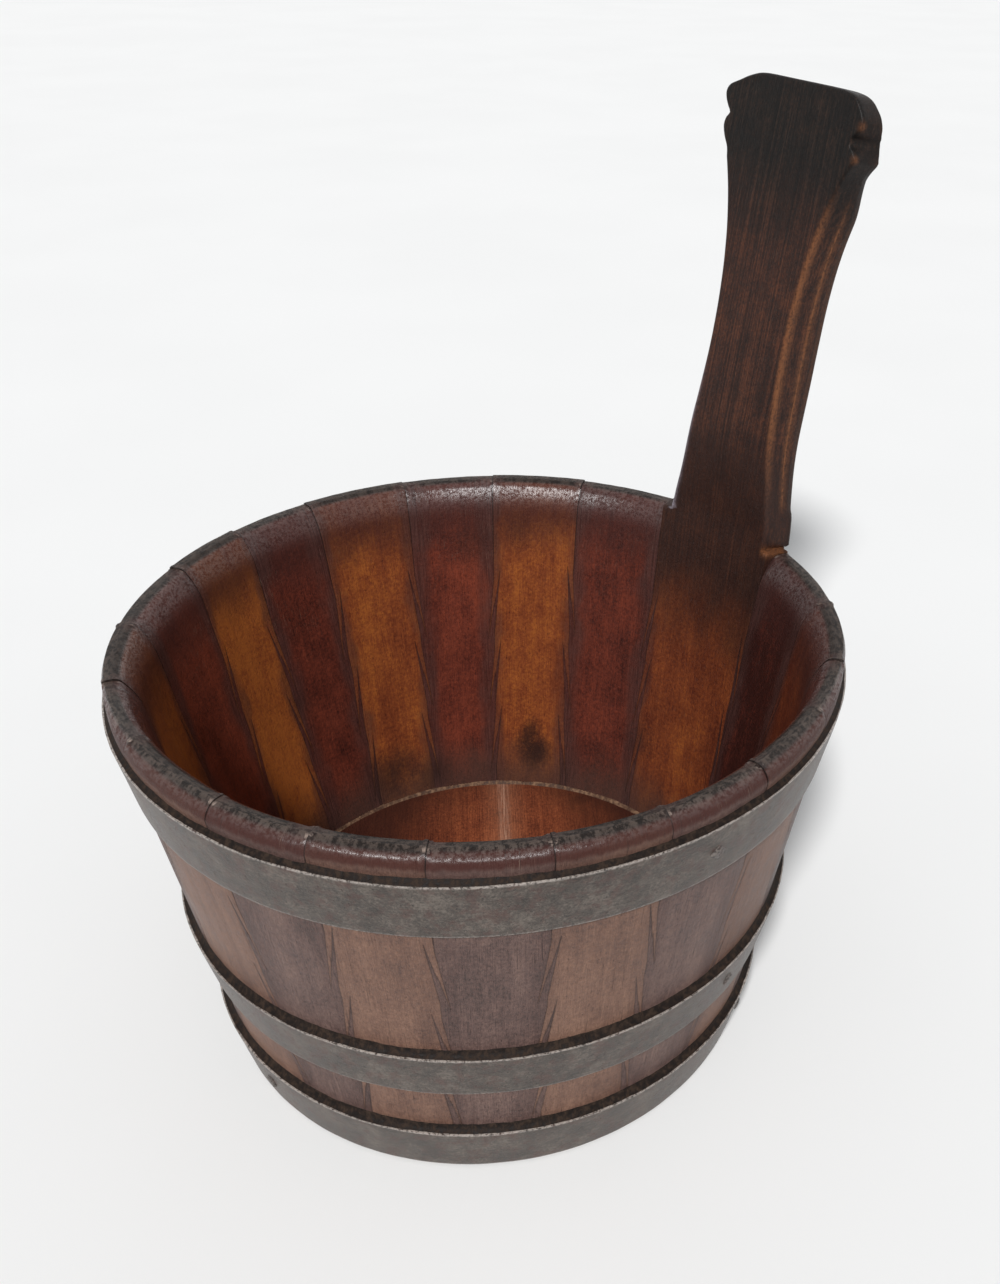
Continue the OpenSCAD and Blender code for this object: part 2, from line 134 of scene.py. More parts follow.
# Depth of the grip's sides, and how much wider its back is a side, by height above the rim
SIDE_DEPTH = ((0, 12.6), (12, 13.0), (75, 17.0), (126, 15.6),
              (150, 12.4), (158, 11.4), (166, 9.6), (176, 8.6))
SIDE_SPREAD = ((0, 3.3), (14, 3.5), (75, 4.2), (128, 4.1),
               (148, 1.8), (156, 1.4), (166, 1.8), (176, 0.8))
NOTCH_T = 156.5
NOTCH_FILL = 4.5
BACK_SWELL = 1.5
FLAT_T = 45.0
CHAMFER_D = 11.0
CHAMFER_W = 0.8
CHAMFER_STOP = 14.0
ARRIS = 1.2
TIP_REACH = 1.7
# Head, as (sideways, height above the rim): up the left side, over the top, down the right
HEAD_LEFT = [(32.2, 146), (34.6, 150), (36.0, 154), (35.4, 157.2), (34.0, 159.0), (35.4, 161), (37.2, 164),
             (37.8, 167)]
HEAD_TOP = [(36.2, 169.6), (31.6, 171.8), (26, 174.3), (19.2, 175.6), (4, 175.2), (-10, 174.7), (-20, 174),
            (-25.4, 172.4)]
HEAD_RIGHT = [(-28.6, 169), (-30.8, 165.4), (-31.2, 162.4), (-29.6, 159.6), (-27.6, 157.8), (-27.4, 155.8),
              (-29.8, 153.2), (-31, 150.6), (-29.4, 147.6)]

# Mesh fineness: grid step, height between its rows, and the close rows at the rim, beside a joint,
# beside the grip's edge and round the grip's sides
GRID = 1.5
ROW_STEP = GRID * 0.87
RIM_ROWS = (0.2, 0.45, 0.8, 1.2, 1.8, 2.6, 3.5, 4.6)
SIDE_ROWS = (0.22, 0.5, 0.95)
SIDE_CLEAR = SIDE_ROWS[-1] + 0.4
GRIP_ROWS = (0.25, 0.6, 1.1, 1.8)
GRIP_CLEAR = 2.3
GRIP_SHARES = (0.2, 0.4, 0.52, 0.57, 0.62, 0.8)


def ease(x):
    u = np.clip(x, 0, 1)
    return u * u * (3 - 2 * u)


def mix(a, b, u):
    return a + (b - a) * u


def bell(x, width):
    return np.exp(-(x / width) ** 2)


def outer_r(z):
    return FOOT_R + z * SLOPE


def inner_r(z):
    return outer_r(z) - WALL


def polar(r, a, z):
    return np.column_stack([r * np.cos(a), r * np.sin(a), np.full(np.shape(a), z)])


def turn_gap(a, b):
    """The angle between two azimuths, either way round."""
    return np.abs((a - b + math.pi) % TURN - math.pi)


def to_frame(points):
    """Bucket millimetres to the shared frame in metres."""
    p = np.array(points, float).reshape(-1, 3)
    p[:, 0] += AXIS_X
    return p * 0.001


def joint_angle(k):
    """Azimuth of joint k in radians. Joint 0 is at the handle's right side, seen from the bucket."""
    return -HANDLE_HALF_A - TURN * sum(STAVE_W[:k]) / WIDTH_SUM


def joint_shift(k, z):
    """Sideways place of joint k at height z, from its place at the rim."""
    return (HEIGHT - z) * math.tan(math.radians(JOINT_SLANT[k]))


def is_light(k):
    return k % 2 == 0


def lumps(points, size, seed):
    """Smooth noise between about -1 and 1 at each point."""
    shift = Vector((seed * 17.3, seed * 5.1, seed * 9.7))
    return np.array([noise.noise(Vector(p) / size + shift) for p in points])


# Points and paths in the plane


def inside_polygon(points, polygon):
    x, y = points[:, 0:1], points[:, 1:2]
    ax, ay = polygon[:, 0], polygon[:, 1]
    bx, by = np.roll(ax, -1), np.roll(ay, -1)
    cross = (ay > y) != (by > y)
    with np.errstate(divide="ignore", invalid="ignore"):
        hit = x < (bx - ax) * (y - ay) / (by - ay) + ax
    return (np.sum(cross & hit, axis=1) % 2) == 1


def distance_to_path(points, path):
    """Distance of each point to an open path of points."""
    path = np.asarray(path)
    a, b = path[:-1], path[1:]
    ab = b - a
    best = np.full(len(points), 1e9)
    for start in range(0, len(points), 2000):
        p = points[start:start + 2000, None, :]
        t = np.clip(np.sum((p - a) * ab, axis=2) / np.maximum(np.sum(ab * ab, axis=1), 1e-9), 0, 1)
        d = np.linalg.norm(p - (a + t[..., None] * ab), axis=2)
        best[start:start + 2000] = d.min(axis=1)
    return best


def distance_to_outline(points, outline):
    return distance_to_path(points, np.vstack([outline, outline[:1]]))


def distance_to_nearer(points, paths):
    return np.minimum(*[distance_to_path(points, path) for path in paths])


def subdivide(path, step):
    out = [path[0]]
    for a, b in zip(path[:-1], path[1:]):
        n = max(1, int(round(math.dist(a, b) / step)))
        out += [(mix(a[0], b[0], i / n), mix(a[1], b[1], i / n)) for i in range(1, n + 1)]
    return out


def path_normals(path):
    step = np.gradient(path, axis=0)
    return np.column_stack([-step[:, 1], step[:, 0]]) / np.linalg.norm(step, axis=1)[:, None]


def smooth_path(points, step):
    """A curve through the points, with a point about each step."""
    p = np.array([points[0]] + list(points) + [points[-1]], float)
    out = [tuple(p[1])]
    for i in range(1, len(p) - 2):
        n = max(2, int(round(np.linalg.norm(p[i + 1] - p[i]) / step)))
        a, b, c, d = p[i - 1], p[i], p[i + 1], p[i + 2]
        for t in np.arange(1, n + 1) / n:
            bend = (2 * a - 5 * b + 4 * c - d) * t * t + (3 * b - 3 * c + d - a) * t ** 3
            out.append(tuple(0.5 * (2 * b + (c - a) * t + bend)))
    return out


def staggered(rows, low, high, lead=0.0):
    """Points on rows of given heights, each second row moved by half a step."""
    points = []
    for j, z in enumerate(rows):
        points += [(x, z) for x in np.arange(low + GRID * (lead + 0.5 * (j % 2)), high, GRID)]
    return points


def beside_paths(paths, outline):
    """Rows of points along both sides of each path, for a clean edge there."""
    found = []
    for path in paths:
        p = np.array(subdivide([tuple(q) for q in path], 1.0))
        normal = path_normals(p)
        for row in SIDE_ROWS:
            found += [p + normal * row, p - normal * row]
    found = np.vstack(found)
    found = found[inside_polygon(found, outline)]
    return found[distance_to_outline(found, outline) > 0.15]


def triangulate(outline, inner_points):
    """Triangles over the outline and the points inside it. The outline's points come first."""
    points = [Vector(p) for p in np.vstack([outline, inner_points])]
    ring = list(range(len(outline)))
    made = delaunay_2d_cdt(points, [], [ring], 1, 1e-5)
    verts = np.array([tuple(v) for v in made[0]])
    back = {}
    for new, olds in enumerate(made[3]):
        for old in olds:
            back[old] = new
    return verts, [tuple(f) for f in made[2]], [back[i] for i in ring]


def two_sheets(tris, n):
    """Faces of an outer and an inner sheet of n points each, turned away from each other."""
    return [(c, b, a) for a, b, c in tris] + [(a + n, b + n, c + n) for a, b, c in tris]


def new_piece(name, points, faces, material, slot, replaces=True, smooth=35, **attributes):
    """A mesh piece in the shared frame that rides on the root and may stand for a CAD node."""
    mesh = bpy.data.meshes.new(name)
    mesh.from_pydata(to_frame(points).tolist(), [], faces)
    mesh.validate()
    mesh.shade_smooth()
    mesh.set_sharp_from_angle(angle=math.radians(smooth))
    for key, values in attributes.items():
        values = np.asarray(values, np.float32)
        kind, field = ("FLOAT_VECTOR", "vector") if values.ndim == 2 else ("FLOAT", "value")
        mesh.attributes.new(key, kind, "POINT").data.foreach_set(field, values.ravel())
    mesh.materials.append(material)
    piece = bpy.data.objects.new(name, mesh)
    bpy.context.scene.collection.objects.link(piece)
    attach(piece, "root")
    if replaces:
        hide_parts(name)


# Staves and their feathered joints


def feathers(k):
    """The feathers of joint k as (root low, root high, tip height, giver), from the foot up."""
    found = []
    count = int((HEIGHT - FEATHER_TOP_GAP - FEATHER_LOW) / FEATHER_PITCH) + 1
    for giver in (k, k + 1):
        up = -1 if is_light(giver) else 1
        start = FEATHER_LOW + (FEATHER_LEN * FEATHER_DOWN_START if is_light(giver) else 0)
        for i in range(count):
            stray = FEATHER_STRAY * math.sin(math.radians(STRAY_TURN * (k + 3 * i)))
            root = start + FEATHER_PITCH * i + stray
            ends = sorted((root, root + up * FEATHER_LEN * FEATHER_ROOT))
            found.append((ends[0], ends[1], root + up * FEATHER_LEN, giver % STAVES))
    return sorted(found)


def side_path(k, stave, top):
    """Edge of a stave at joint k from foot to top, as (distance into the stave, height)."""
    path = [(0.0, 0.0)]
    for low, high, tip, giver in feathers(k):
        reach = -FEATHER_REACH if giver == stave else FEATHER_REACH
        path += [(0.0, low), (reach, tip), (0.0, high)]
    path += [(0.0, top - row) for row in RIM_ROWS[::-1]]
    path.append((0.0, top))
    return path


class Stave:
    """The unrolled face of one stave: x runs clockwise from its left joint, y is the height."""

    def __init__(self, k):
        self.k = k
        self.left, self.right = (k - 1) % STAVES, k
        self.top = HEIGHT - STAVE_DROP * STAVE_STEPS[k]
        self.a_left, self.a_right = joint_angle(self.left), joint_angle(self.right)
        if k == 0:
            self.a_left += TURN

    def width(self, z):
        middle = outer_r(z) - WALL / 2
        turn = (self.a_left - self.a_right) * middle
        return turn + joint_shift(self.left, z) - joint_shift(self.right, z)

    def angle(self, x, z, r):
        w = self.width(z)
        left = self.a_left + (joint_shift(self.left, z) - x) / r
        right = self.a_right + (joint_shift(self.right, z) + w - x) / r
        return mix(left, right, x / w)

    def sides(self):
        left = subdivide(side_path(self.left, self.k, self.top), GRID)
        right = subdivide(side_path(self.right, self.k, self.top), GRID)
        return left, [(self.width(z) - d, z) for d, z in right]

    def grid(self, outline):
        """Grid points over the outline's width, with close rows at the rim and at the groove."""
        low, high = outline.min(0), outline.max(0)
        rows = list(np.arange(GRID / 2, self.top - RIM_ROWS[-1], ROW_STEP))
        rows = [z for z in rows if not GROOVE[0] - 0.7 < z < GROOVE[1] + 0.7]
        rows += [GROOVE[0] - 0.2, GROOVE[0] + 0.2, mix(*GROOVE, 0.5), GROOVE[1] - 0.2, GROOVE[1] + 0.2]
        rows += [self.top - row for row in RIM_ROWS]
        return np.array(staggered(rows, low[0], high[0], 0.3))

    def fill(self, outline):
        """Points inside the outline, with rows along the joints in place of the ones near its edge."""
        points = self.grid(outline)
        points = points[inside_polygon(points, outline)]
        points = points[distance_to_outline(points, outline) > SIDE_CLEAR]
        return np.vstack([points, beside_paths(self.sides(), outline)])


def outer_face(z, top, shoulder=0.0):
    """Radius of the outer face at height z, with the rim's and the foot's rounding."""
    u = np.clip((z - (top - ROUND_OUT)) / ROUND_OUT, 0, 1)
    v = np.clip((z - (top - RIM_SHOULDER_H)) / RIM_SHOULDER_H, 0, 1)
    foot = FOOT_ROUND * np.clip(1 - z / FOOT_ROUND, 0, 1)
    return outer_r(z) - ROUND_OUT * (1 - np.sqrt(1 - u * u)) - RIM_SHOULDER_D * shoulder * v ** 2 - foot


def inner_face(z, top, bevel=1.0):
    """Radius of the inner face at height z, with the rim's rounding, the groove and the foot's bevel."""
    u = np.clip((z - (top - ROUND_IN)) / ROUND_IN, 0, 1)
    v = np.clip((z - (top - RIM_BEVEL_H)) / RIM_BEVEL_H, 0, 1)
    rim_bevel = RIM_BEVEL_D * bevel * v ** 2.2
    foot_bevel = FOOT_BEVEL_W * np.clip(1 - z / FOOT_BEVEL_H, 0, 1)
    groove = np.where((z > GROOVE[0]) & (z < GROOVE[1]), BOARD_R + GROOVE_CLEAR - inner_r(z), 0)
    return inner_r(z) + ROUND_IN * (1 - np.sqrt(1 - u * u)) + rim_bevel + foot_bevel + groove


def joint_sink(edge, z):
    """How far the wood falls away beside a joint: little among the feathers and more at the rim."""
    return mix(0.07, 0.15, ease((z - HEIGHT + 50) / 30)) * bell(edge, 0.5)


def proud(points, z, seed, inside, sink, size=0.12):
    """How far hand-worked wood stands out from its true form. The feet and the groove keep theirs."""
    coarse = lumps(points * np.array([1, 1, 0.45]), 16.0, seed)
    fine = lumps(points * np.array([1, 1, 0.12]), 3.0, seed + 3)
    push = size * (0.8 * coarse + 0.35 * fine) * ease(z / 3) - sink
    return np.where(inside & (z < GROOVE[1] + 0.5), 0, push)


def stave_sheet(stave, x, z, edge, inside):
    away = turn_gap(stave.angle(x, z, RIM_R), NEAR_A) - NEAR_REACH
    if inside:
        bevel = mix(NEAR_BEVEL, 1.0, ease(away / math.radians(35)))
        r = inner_face(z, stave.top, bevel)
    else:
        r = outer_face(z, stave.top, 1 - ease(away / math.radians(40)))
    a = stave.angle(x, z, r)
    p = polar(r, a, z)
    push = proud(p, z, stave.k + (40 if inside else 0), inside, joint_sink(edge, z))
    lower = 0.1 * (1 - ease((stave.top - z) / 1.5)) * (1 + lumps(p, 5.0, stave.k))
    return polar(r + push * (-1 if inside else 1), a, z - lower)


def stave_piece(k, material, slot):
    stave = Stave(k)
    left, right = stave.sides()
    bottom = subdivide([left[0], right[0]], GRID)[1:-1]
    top = subdivide([right[-1], left[-1]], GRID)[1:-1]
    outline = np.array([left[0]] + bottom + right + top + left[:0:-1])
    flat, tris, ring = triangulate(outline, stave.fill(outline))
    x, z = flat[:, 0], flat[:, 1]
    edge = distance_to_nearer(flat, (left, right))
    points = np.vstack([stave_sheet(stave, x, z, edge, inside) for inside in (False, True)])
    n = len(flat)
    faces = two_sheets(tris, n)
    faces += [(a, b, b + n, a + n) for a, b in zip(ring, ring[1:] + ring[:1])]
    # Each stave takes its grain from another part of the pattern
    grain = np.column_stack([stave.width(z) / 2 - x + 130 * k, np.zeros(n), z + 37 * k])
    # A pale rubbed line along the stave's top arris: wear, and also a painted highlight along the rim's edge
    rubbed_highlight = bell(stave.top - z - 0.35, 0.3)
    new_piece(
        f"stave_{k:02d}", points, faces, material, slot,
        grain=np.vstack([grain, grain + [0, WALL, 0]]),
        inside=np.repeat([0.0, 1.0], n),
        edge=np.tile(edge, 2),
        band=np.tile(np.minimum(x, stave.width(z) - x), 2),
        tone=np.full(2 * n, STAVE_TONES_AND_SHADE[k]),
        wear=np.concatenate([rubbed_highlight, 0.45 * rubbed_highlight]))


# Handle stave


def half_width(t):
    """Half width of the grip's front face at height t above the rim, up to the lower lips."""
    t = np.asarray(t, float)
    low = mix(WAIST_HALF, ROOT_HALF, np.clip((WAIST_T - np.maximum(t, 0)) / WAIST_T, 0, 1) ** 1.6)
    high = mix(WAIST_HALF, LIP_HALF, np.clip((t - WAIST_T) / (LIP_T - WAIST_T), 0, 1) ** 2.4)
    return np.where(t < WAIST_T, low, high)


def grip_middle(t):
    return GRIP_SHIFT * ease((np.asarray(t, float) - 5) / 40)


def grip_outline():
    """Outline of the grip above the rim as (sideways, height), from the left shoulder to the right."""
    left_t = np.arange(0, HEAD_LEFT[0][1] - 3, GRID)
    left = [(float(half_width(t) + grip_middle(t)), float(t)) for t in left_t]
    right_t = np.arange(0, HEAD_RIGHT[-1][1] - 3, GRID)[::-1]
    right = [(float(-half_width(t) + grip_middle(t)), float(t)) for t in right_t]
    head = smooth_path([left[-1]] + HEAD_LEFT + HEAD_TOP + HEAD_RIGHT + [right[0]], 1.0)
    return left[:-1] + head + right[1:]


def front_depth(s, t):
    """Depth of the front face behind its flat: the wall's hollow runs out up the grip."""
    hollow = (np.sqrt(np.maximum((RIM_R - WALL) ** 2 - s * s, 0)) - FRONT_X) * math.cos(LEAN)
    return (hollow - 0.15) * (1 - ease(t / FLAT_T))


def smooth_steps(t, table):
    """A smooth line through a table of (t, value)."""
    t = np.asarray(t, float)
    value = np.full(t.shape, float(table[0][1]))
    for (t0, v0), (t1, v1) in zip(table[:-1], table[1:]):
        value = value + (v1 - v0) * ease((t - t0) / (t1 - t0))
    return value


def chamfer(t):
    return CHAMFER_W * ease((t - CHAMFER_STOP) / 3) * ease((LIP_T - 3 - t) / 6)


def on_handle(s, d, t):
    """A point of the grip: s sideways, d behind the front plane, t up the lean from the rim."""
    x = FRONT_X + t * math.sin(LEAN) + d * math.cos(LEAN)
    return np.column_stack([x, s, HEIGHT + t * math.cos(LEAN) - d * math.sin(LEAN)])


def handle_outline(stave, middle):
    """The handle stave's unrolled outline, and the grip's part of it."""
    left, right = stave.sides()
    grip = [(middle - s, HEIGHT + t) for s, t in grip_outline()]
    bottom = subdivide([left[0], right[0]], GRID)[1:-1]
    shoulder_l = subdivide([left[-1], grip[0]], 0.7)[1:-1]
    shoulder_r = subdivide([grip[-1], right[-1]], 0.7)[1:-1]
    # Clockwise from the left foot: foot, right side up, over the grip, left side down
    loop = [left[0]] + bottom + right + shoulder_r[::-1] + grip[::-1] + shoulder_l[::-1] + left[:0:-1]
    return np.array(loop), np.array(grip)


def handle_fill(stave, outline, grip, middle):
    """Points inside the handle stave's outline, in close rows along the grip's edge and the joints."""
    normals = path_normals(grip)
    beside = [(grip + sign * normals * row)[2:-2] for row in GRIP_ROWS for sign in (-1, 1)]
    rows = np.arange(HEIGHT + 0.6, HEIGHT + HANDLE_LEN, ROW_STEP)
    field = np.array(staggered(rows, middle - 40, middle + 40))
    field = field[distance_to_path(field, grip) > GRIP_CLEAR]
    points = np.vstack([stave.grid(outline)] + beside + [field])
    points = points[inside_polygon(points, outline)]
    clear = distance_to_outline(points, outline) > 0.2
    points = points[clear & (distance_to_nearer(points, stave.sides()) >= SIDE_CLEAR)]
    return np.vstack([points, beside_paths(stave.sides(), outline)])


def handle_sheet(stave, x, z, s, grip_d, joint_d, inside):
    """The handle stave's front or back: the bucket's wall below the rim, the grip above it."""
    t = z - HEIGHT
    sunk = ARRIS - np.sqrt(np.maximum(ARRIS ** 2 - (ARRIS - grip_d) ** 2, 0))
    roundness = np.where((t > 0) & (grip_d < ARRIS), sunk, 0)
    # Only the stave's shoulders have the rim's rounding; the grip goes on up
    shoulder = ease((np.abs(s) - ROOT_HALF + 0.3) / 2.4)
    top = HEIGHT + 40 * (1 - shoulder)
    high = np.where(t > 0, HEIGHT + t * math.cos(LEAN), z)
    low = np.minimum(high, top)
    r = inner_face(low, top, 0) if inside else outer_face(low, top)
    r = r + np.maximum(high - top, 0) * SLOPE
    wall = polar(r, stave.angle(x, np.minimum(z, HEIGHT), r), high)
    if inside:
        grip = on_handle(s, front_depth(s, t) + roundness, t)
    else:
        share = (s - grip_middle(t)) / np.maximum(half_width(t), 10)
        spread = smooth_steps(t, SIDE_SPREAD) - chamfer(t)
        spread = spread + np.where(share < 0, NOTCH_FILL * bell(t - NOTCH_T, 3.2), 0)
        swell = mix(2 * BACK_SWELL, BACK_SWELL, ease(t / FLAT_T)) * (1 - np.clip(share, -1, 1) ** 2)
        depth = smooth_steps(t, SIDE_DEPTH) + swell - roundness
        grip = on_handle(s + spread * np.clip(share, -1.15, 1.15), depth, t)
    rise = np.where(t > 0, ease(t / (12 if inside else 2.5)), 0)
    p = mix(wall, grip, rise[:, None])
    push = proud(p, z, 7 if inside else 8, inside, joint_sink(joint_d, z), 0.14)
    out = np.array([math.cos(LEAN), 0, -math.sin(LEAN)]) * (-1 if inside else 1)
    return p + push[:, None] * out


def handle_wear(s, t, grip_d, ring):
    """Where hands wore the wood: the front's edges, and the row round the right side's chamfer. The left edge
    low on the grip and the two tips on the head's right side are painted highlights.
    """
    right_side = ease((grip_middle(t) - s) / 8)
    head_clear = 1 - ease((t - 118) / 24)
    # On the left side, the edge low on the grip is marked for a painted highlight along its arris
    shaft = np.where(right_side > 0.5, ease((t - 8) / 50) * head_clear, ease((72 - t) / 30))
    front = bell(grip_d, mix(1.1, 0.85, right_side)) * (t > 0) * shaft
    # Painted highlights on two tips of the head's right side
    for tip_s, tip_t in (HEAD_RIGHT[2], HEAD_RIGHT[7]):
        front = np.maximum(front, 0.6 * bell(np.hypot(s - tip_s, t - tip_t), TIP_REACH))
    corner = bell(t, 1.4) * ease((-s - ROOT_HALF + 1.5) / 2)
    front = np.maximum(front, corner)
    along = (t > 0) * ease((t - CHAMFER_STOP) / 6) * right_side * head_clear
    rows = [np.maximum(bell(q - 0.57, 0.05) * along, 0.9 * corner)[ring] for q in GRIP_SHARES]
    return [0.3 * front, front] + rows


def handle_piece(material):
    stave = Stave(0)
    middle = stave.width(HEIGHT) / 2
    outline, grip = handle_outline(stave, middle)
    flat, tris, ring = triangulate(outline, handle_fill(stave, outline, grip, middle))
    x, z = flat[:, 0], flat[:, 1]
    s, t = middle - x, z - HEIGHT
    grip_d = distance_to_path(flat, grip)
    joint_d = distance_to_nearer(flat, stave.sides())
    outer, inner = [handle_sheet(stave, x, z, s, grip_d, joint_d, inside) for inside in (False, True)]
    # Rows round the edge join the front to the back, and bulge out to the chamfer's arris
    peak = (CHAMFER_D - ARRIS) / (smooth_steps(t[ring], SIDE_DEPTH) - 2 * ARRIS)
    bulge = np.where(s[ring] > grip_middle(t[ring]), 1.0, -1.0) * (chamfer(t[ring]) * peak)
    n, m = len(flat), len(ring)
    points, rings = [outer, inner], [[i + n for i in ring]]
    for j, q in enumerate(GRIP_SHARES):
        row = mix(inner[ring], outer[ring], q)
        row[:, 1] += bulge * np.where(q < peak, q / peak, (1 - q) / (1 - peak))
        points.append(row)
        rings.append(range(2 * n + j * m, 2 * n + (j + 1) * m))
    rings.append(ring)
    faces = two_sheets(tris, n)
    for low, high in zip(rings[:-1], rings[1:]):
        faces += [(high[i], high[(i + 1) % m], low[(i + 1) % m], low[i]) for i in range(m)]
    grain = np.column_stack([s, np.zeros(n), z])
    side_grain = [grain[ring] + [0, WALL * (1 - q), 0] for q in GRIP_SHARES]
    band = np.minimum(x, 2 * middle - x)
    rows = len(GRIP_SHARES)
    new_piece(
        "handle_stave", np.vstack(points), faces, material, "light_wood",
        grain=np.vstack([grain, grain + [0, WALL, 0]] + side_grain),
        inside=np.repeat([0.0, 1.0, 0.55], (n, n, m * rows)),
        edge=np.concatenate([joint_d, joint_d] + [joint_d[ring] + 3] * rows),
        band=np.concatenate([band, band] + [band[ring]] * rows),
        tone=np.full(2 * n + m * rows, STAVE_TONES_AND_SHADE[0]),
        wear=np.concatenate(handle_wear(s, t, grip_d, ring)))


# Board, hoops, fixings and grime


def ring_faces(rows, columns, closed_profile):
    faces = []
    for i in range(rows if closed_profile else rows - 1):
        low, high = i * columns, (i + 1) % rows * columns
        for j in range(columns):
            k = (j + 1) % columns
            faces.append((low + j, low + k, high + k, high + j))
    return faces


def board_piece(material):
    angles = np.linspace(0, TURN, 180, endpoint=False)
    radii = (0.4, 3, 7, 12, 18, 25, 32, 40, 48, 56, 64, 71, 77, 81, 83.5, 85.5, BOARD_R - 0.4)
    edge_low = FLOOR_Z - BOARD_EDGE_T
    profile = [(r, FLOOR_Z) for r in radii]
    profile += [(BOARD_R, FLOOR_Z - 0.5), (BOARD_R, edge_low + 0.3), (BOARD_R - 0.4, edge_low)]
    profile += [(inner_r(edge_low) - 1, edge_low), (inner_r(FLOOR_Z) - BOARD_BEVEL, BOARD_LOW)]
    profile += [(r, BOARD_LOW) for r in (60, 45, 30, 18, 8, 0.4)]
    p = np.vstack([polar(r, angles, z) for r, z in profile])
    flat = p[:, 2] > FLOOR_Z - 0.1
    p[flat, 2] -= 0.12 + 0.12 * lumps(p[flat] * [0.3, 1, 1], 14.0, 91)
    columns = len(angles)
    faces = [f[::-1] for f in ring_faces(len(profile), columns, False)]
    faces.append(tuple(range(columns)))
    faces.append(tuple(range(len(p) - 1, len(p) - columns - 1, -1)))
    along = np.array([math.cos(BOARD_GRAIN), math.sin(BOARD_GRAIN)])
    across = np.array([-along[1], along[0]])
    new_piece(
        "bottom_board", p, faces, material, "board_wood",
        grain=np.column_stack([p[:, :2] @ across, p[:, 2], p[:, :2] @ along]),
        inside=flat.astype(float),
        tone=np.full(len(p), 0.5))


def hoop_lines(name):
    low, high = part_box(name)
    return low.z * 1000, high.z * 1000


def hoop_face(name, u):
    """Height and outer radius of a hoop at a share u of its width."""
    z = mix(*hoop_lines(name), u)
    return z, outer_r(z) + HOOP_GAP + HOOP_T + HOOP_OFF[name] * u


def hoop_piece(name, material):
    low, high = hoop_lines(name)
    step = math.radians(0.9)
    lap = LAP_LEN / hoop_face(name, 0.5)[1] / 2
    centre = math.radians(LAP_A[name])
    ends = np.array([centre - lap, centre - lap + LAP_END, centre + lap - LAP_END, centre + lap]) % TURN
    angles = np.sort(np.concatenate([np.arange(0, TURN - step / 2, step), ends]))
    over = LAP_STEP * ease((lap - turn_gap(angles, centre)) / LAP_END)
    # Rows across the outside from the lower edge up, then three down the back
    profile = []
    for u in (0.0, 0.012, 0.05, 0.2, 0.4, 0.6, 0.8, 0.95, 0.988, 1.0):
        z, r = hoop_face(name, u)
        near_edge = max(0, 1 - min(u, 1 - u) / 0.03)
        profile.append((r - HOOP_BEVEL * (1 - math.sqrt(1 - near_edge ** 2)), z))
    for u in (1.0, 0.5, 0.0):
        z, r = hoop_face(name, u)
        profile.append((r - HOOP_T, z))
    lap_share = [0.6] * 2 + [1.0] * 6 + [0.6] * 2 + [0] * 3
    # Rows marked as worn: the lower edge half, the upper arris fully; the pale upper arris is also a painted
    # highlight
    wear = [0.5] * 2 + [0.0] * 6 + [1.0] * 3 + [0.0] * 2
    rows = []
    for i, (r, z) in enumerate(profile):
        base = polar(r, angles, z)
        if lap_share[i]:
            dent = 0.10 * lumps(base, 9.0, 50) + 0.05 * lumps(base, 2.5, 51)
            r = r + lap_share[i] * over + dent - 0.12
        inset = 0.2 if z > high - 0.01 else -0.2 if z < low + 0.01 else 0
        if inset:
            z = z - inset + 0.162 * lumps(base, 22.0, 52)
        rows.append(polar(r, angles, z))
    faces = ring_faces(len(profile), len(angles), True)
    new_piece(name, np.vstack(rows), faces, material, "hoop_iron", smooth=50,
              wear=np.repeat(wear, len(angles)))


def grime_ring(name, profile, angles, wobble, seed, material, size=7.0):
    """Old wax and dirt in a corner: a thin ring whose profile wanders with noise."""
    rows = []
    for r, z, loose in profile:
        row = polar(r, angles, z)
        row[:, 2] += wobble * loose * (lumps(row, size, seed) + 0.6 * lumps(row, size * 0.3, seed + 1))
        rows.append(row)
    p = np.vstack(rows)
    grain = np.column_stack([np.tile(angles, len(profile)) * RIM_R, p[:, 2], np.zeros(len(p))])
    faces = ring_faces(len(profile), len(angles), True)
    new_piece(name, p, faces, material, "dark_wood", replaces=False, smooth=60, grain=grain)


def hoop_grime(name, reach, material):
    """Grime on the ledge of a hoop, between its upper edge and the staves."""
    high = hoop_lines(name)[1]
    edge = hoop_face(name, 1)[1]
    wall, wall_above = outer_r(high), outer_r(high + reach)
    profile = [
        (wall - 0.6, high - 2.0, 0),
        (edge - 0.9, high - 1.2, 0),
        (edge - 0.55, high - 0.35, 0.15),
        (mix(wall, edge, 0.55), high + 0.1 * reach, 0.5),
        (mix(wall, edge, 0.22) + 0.1, high + 0.45 * reach, 0.8),
        (wall_above + 0.12, high + 0.9 * reach, 1),
        (wall_above - 0.25, high + 1.1 * reach, 1),
    ]
    angles = np.linspace(0, TURN, 720, endpoint=False)
    grime_ring("grime_" + name, profile, angles, 0.5, 61, material)


def floor_grime(material):
    """The pale line of wax and dust where the board meets the staves."""
    r = inner_r(FLOOR_Z)
    profile = [
        (r + 0.4, FLOOR_Z + 1.0, 1.0),
        (r - 0.1, FLOOR_Z + 0.75, 1.0),
        (r - 0.5, FLOOR_Z + 0.25, 0.5),
        (r - 0.9, FLOOR_Z - 0.15, 0.3),
        (r - 0.4, FLOOR_Z - 0.6, 0),
    ]
    angles = np.linspace(0, TURN, 600, endpoint=False)
    grime_ring("grime_floor", profile, angles, 0.45, 71, material, size=16.0)


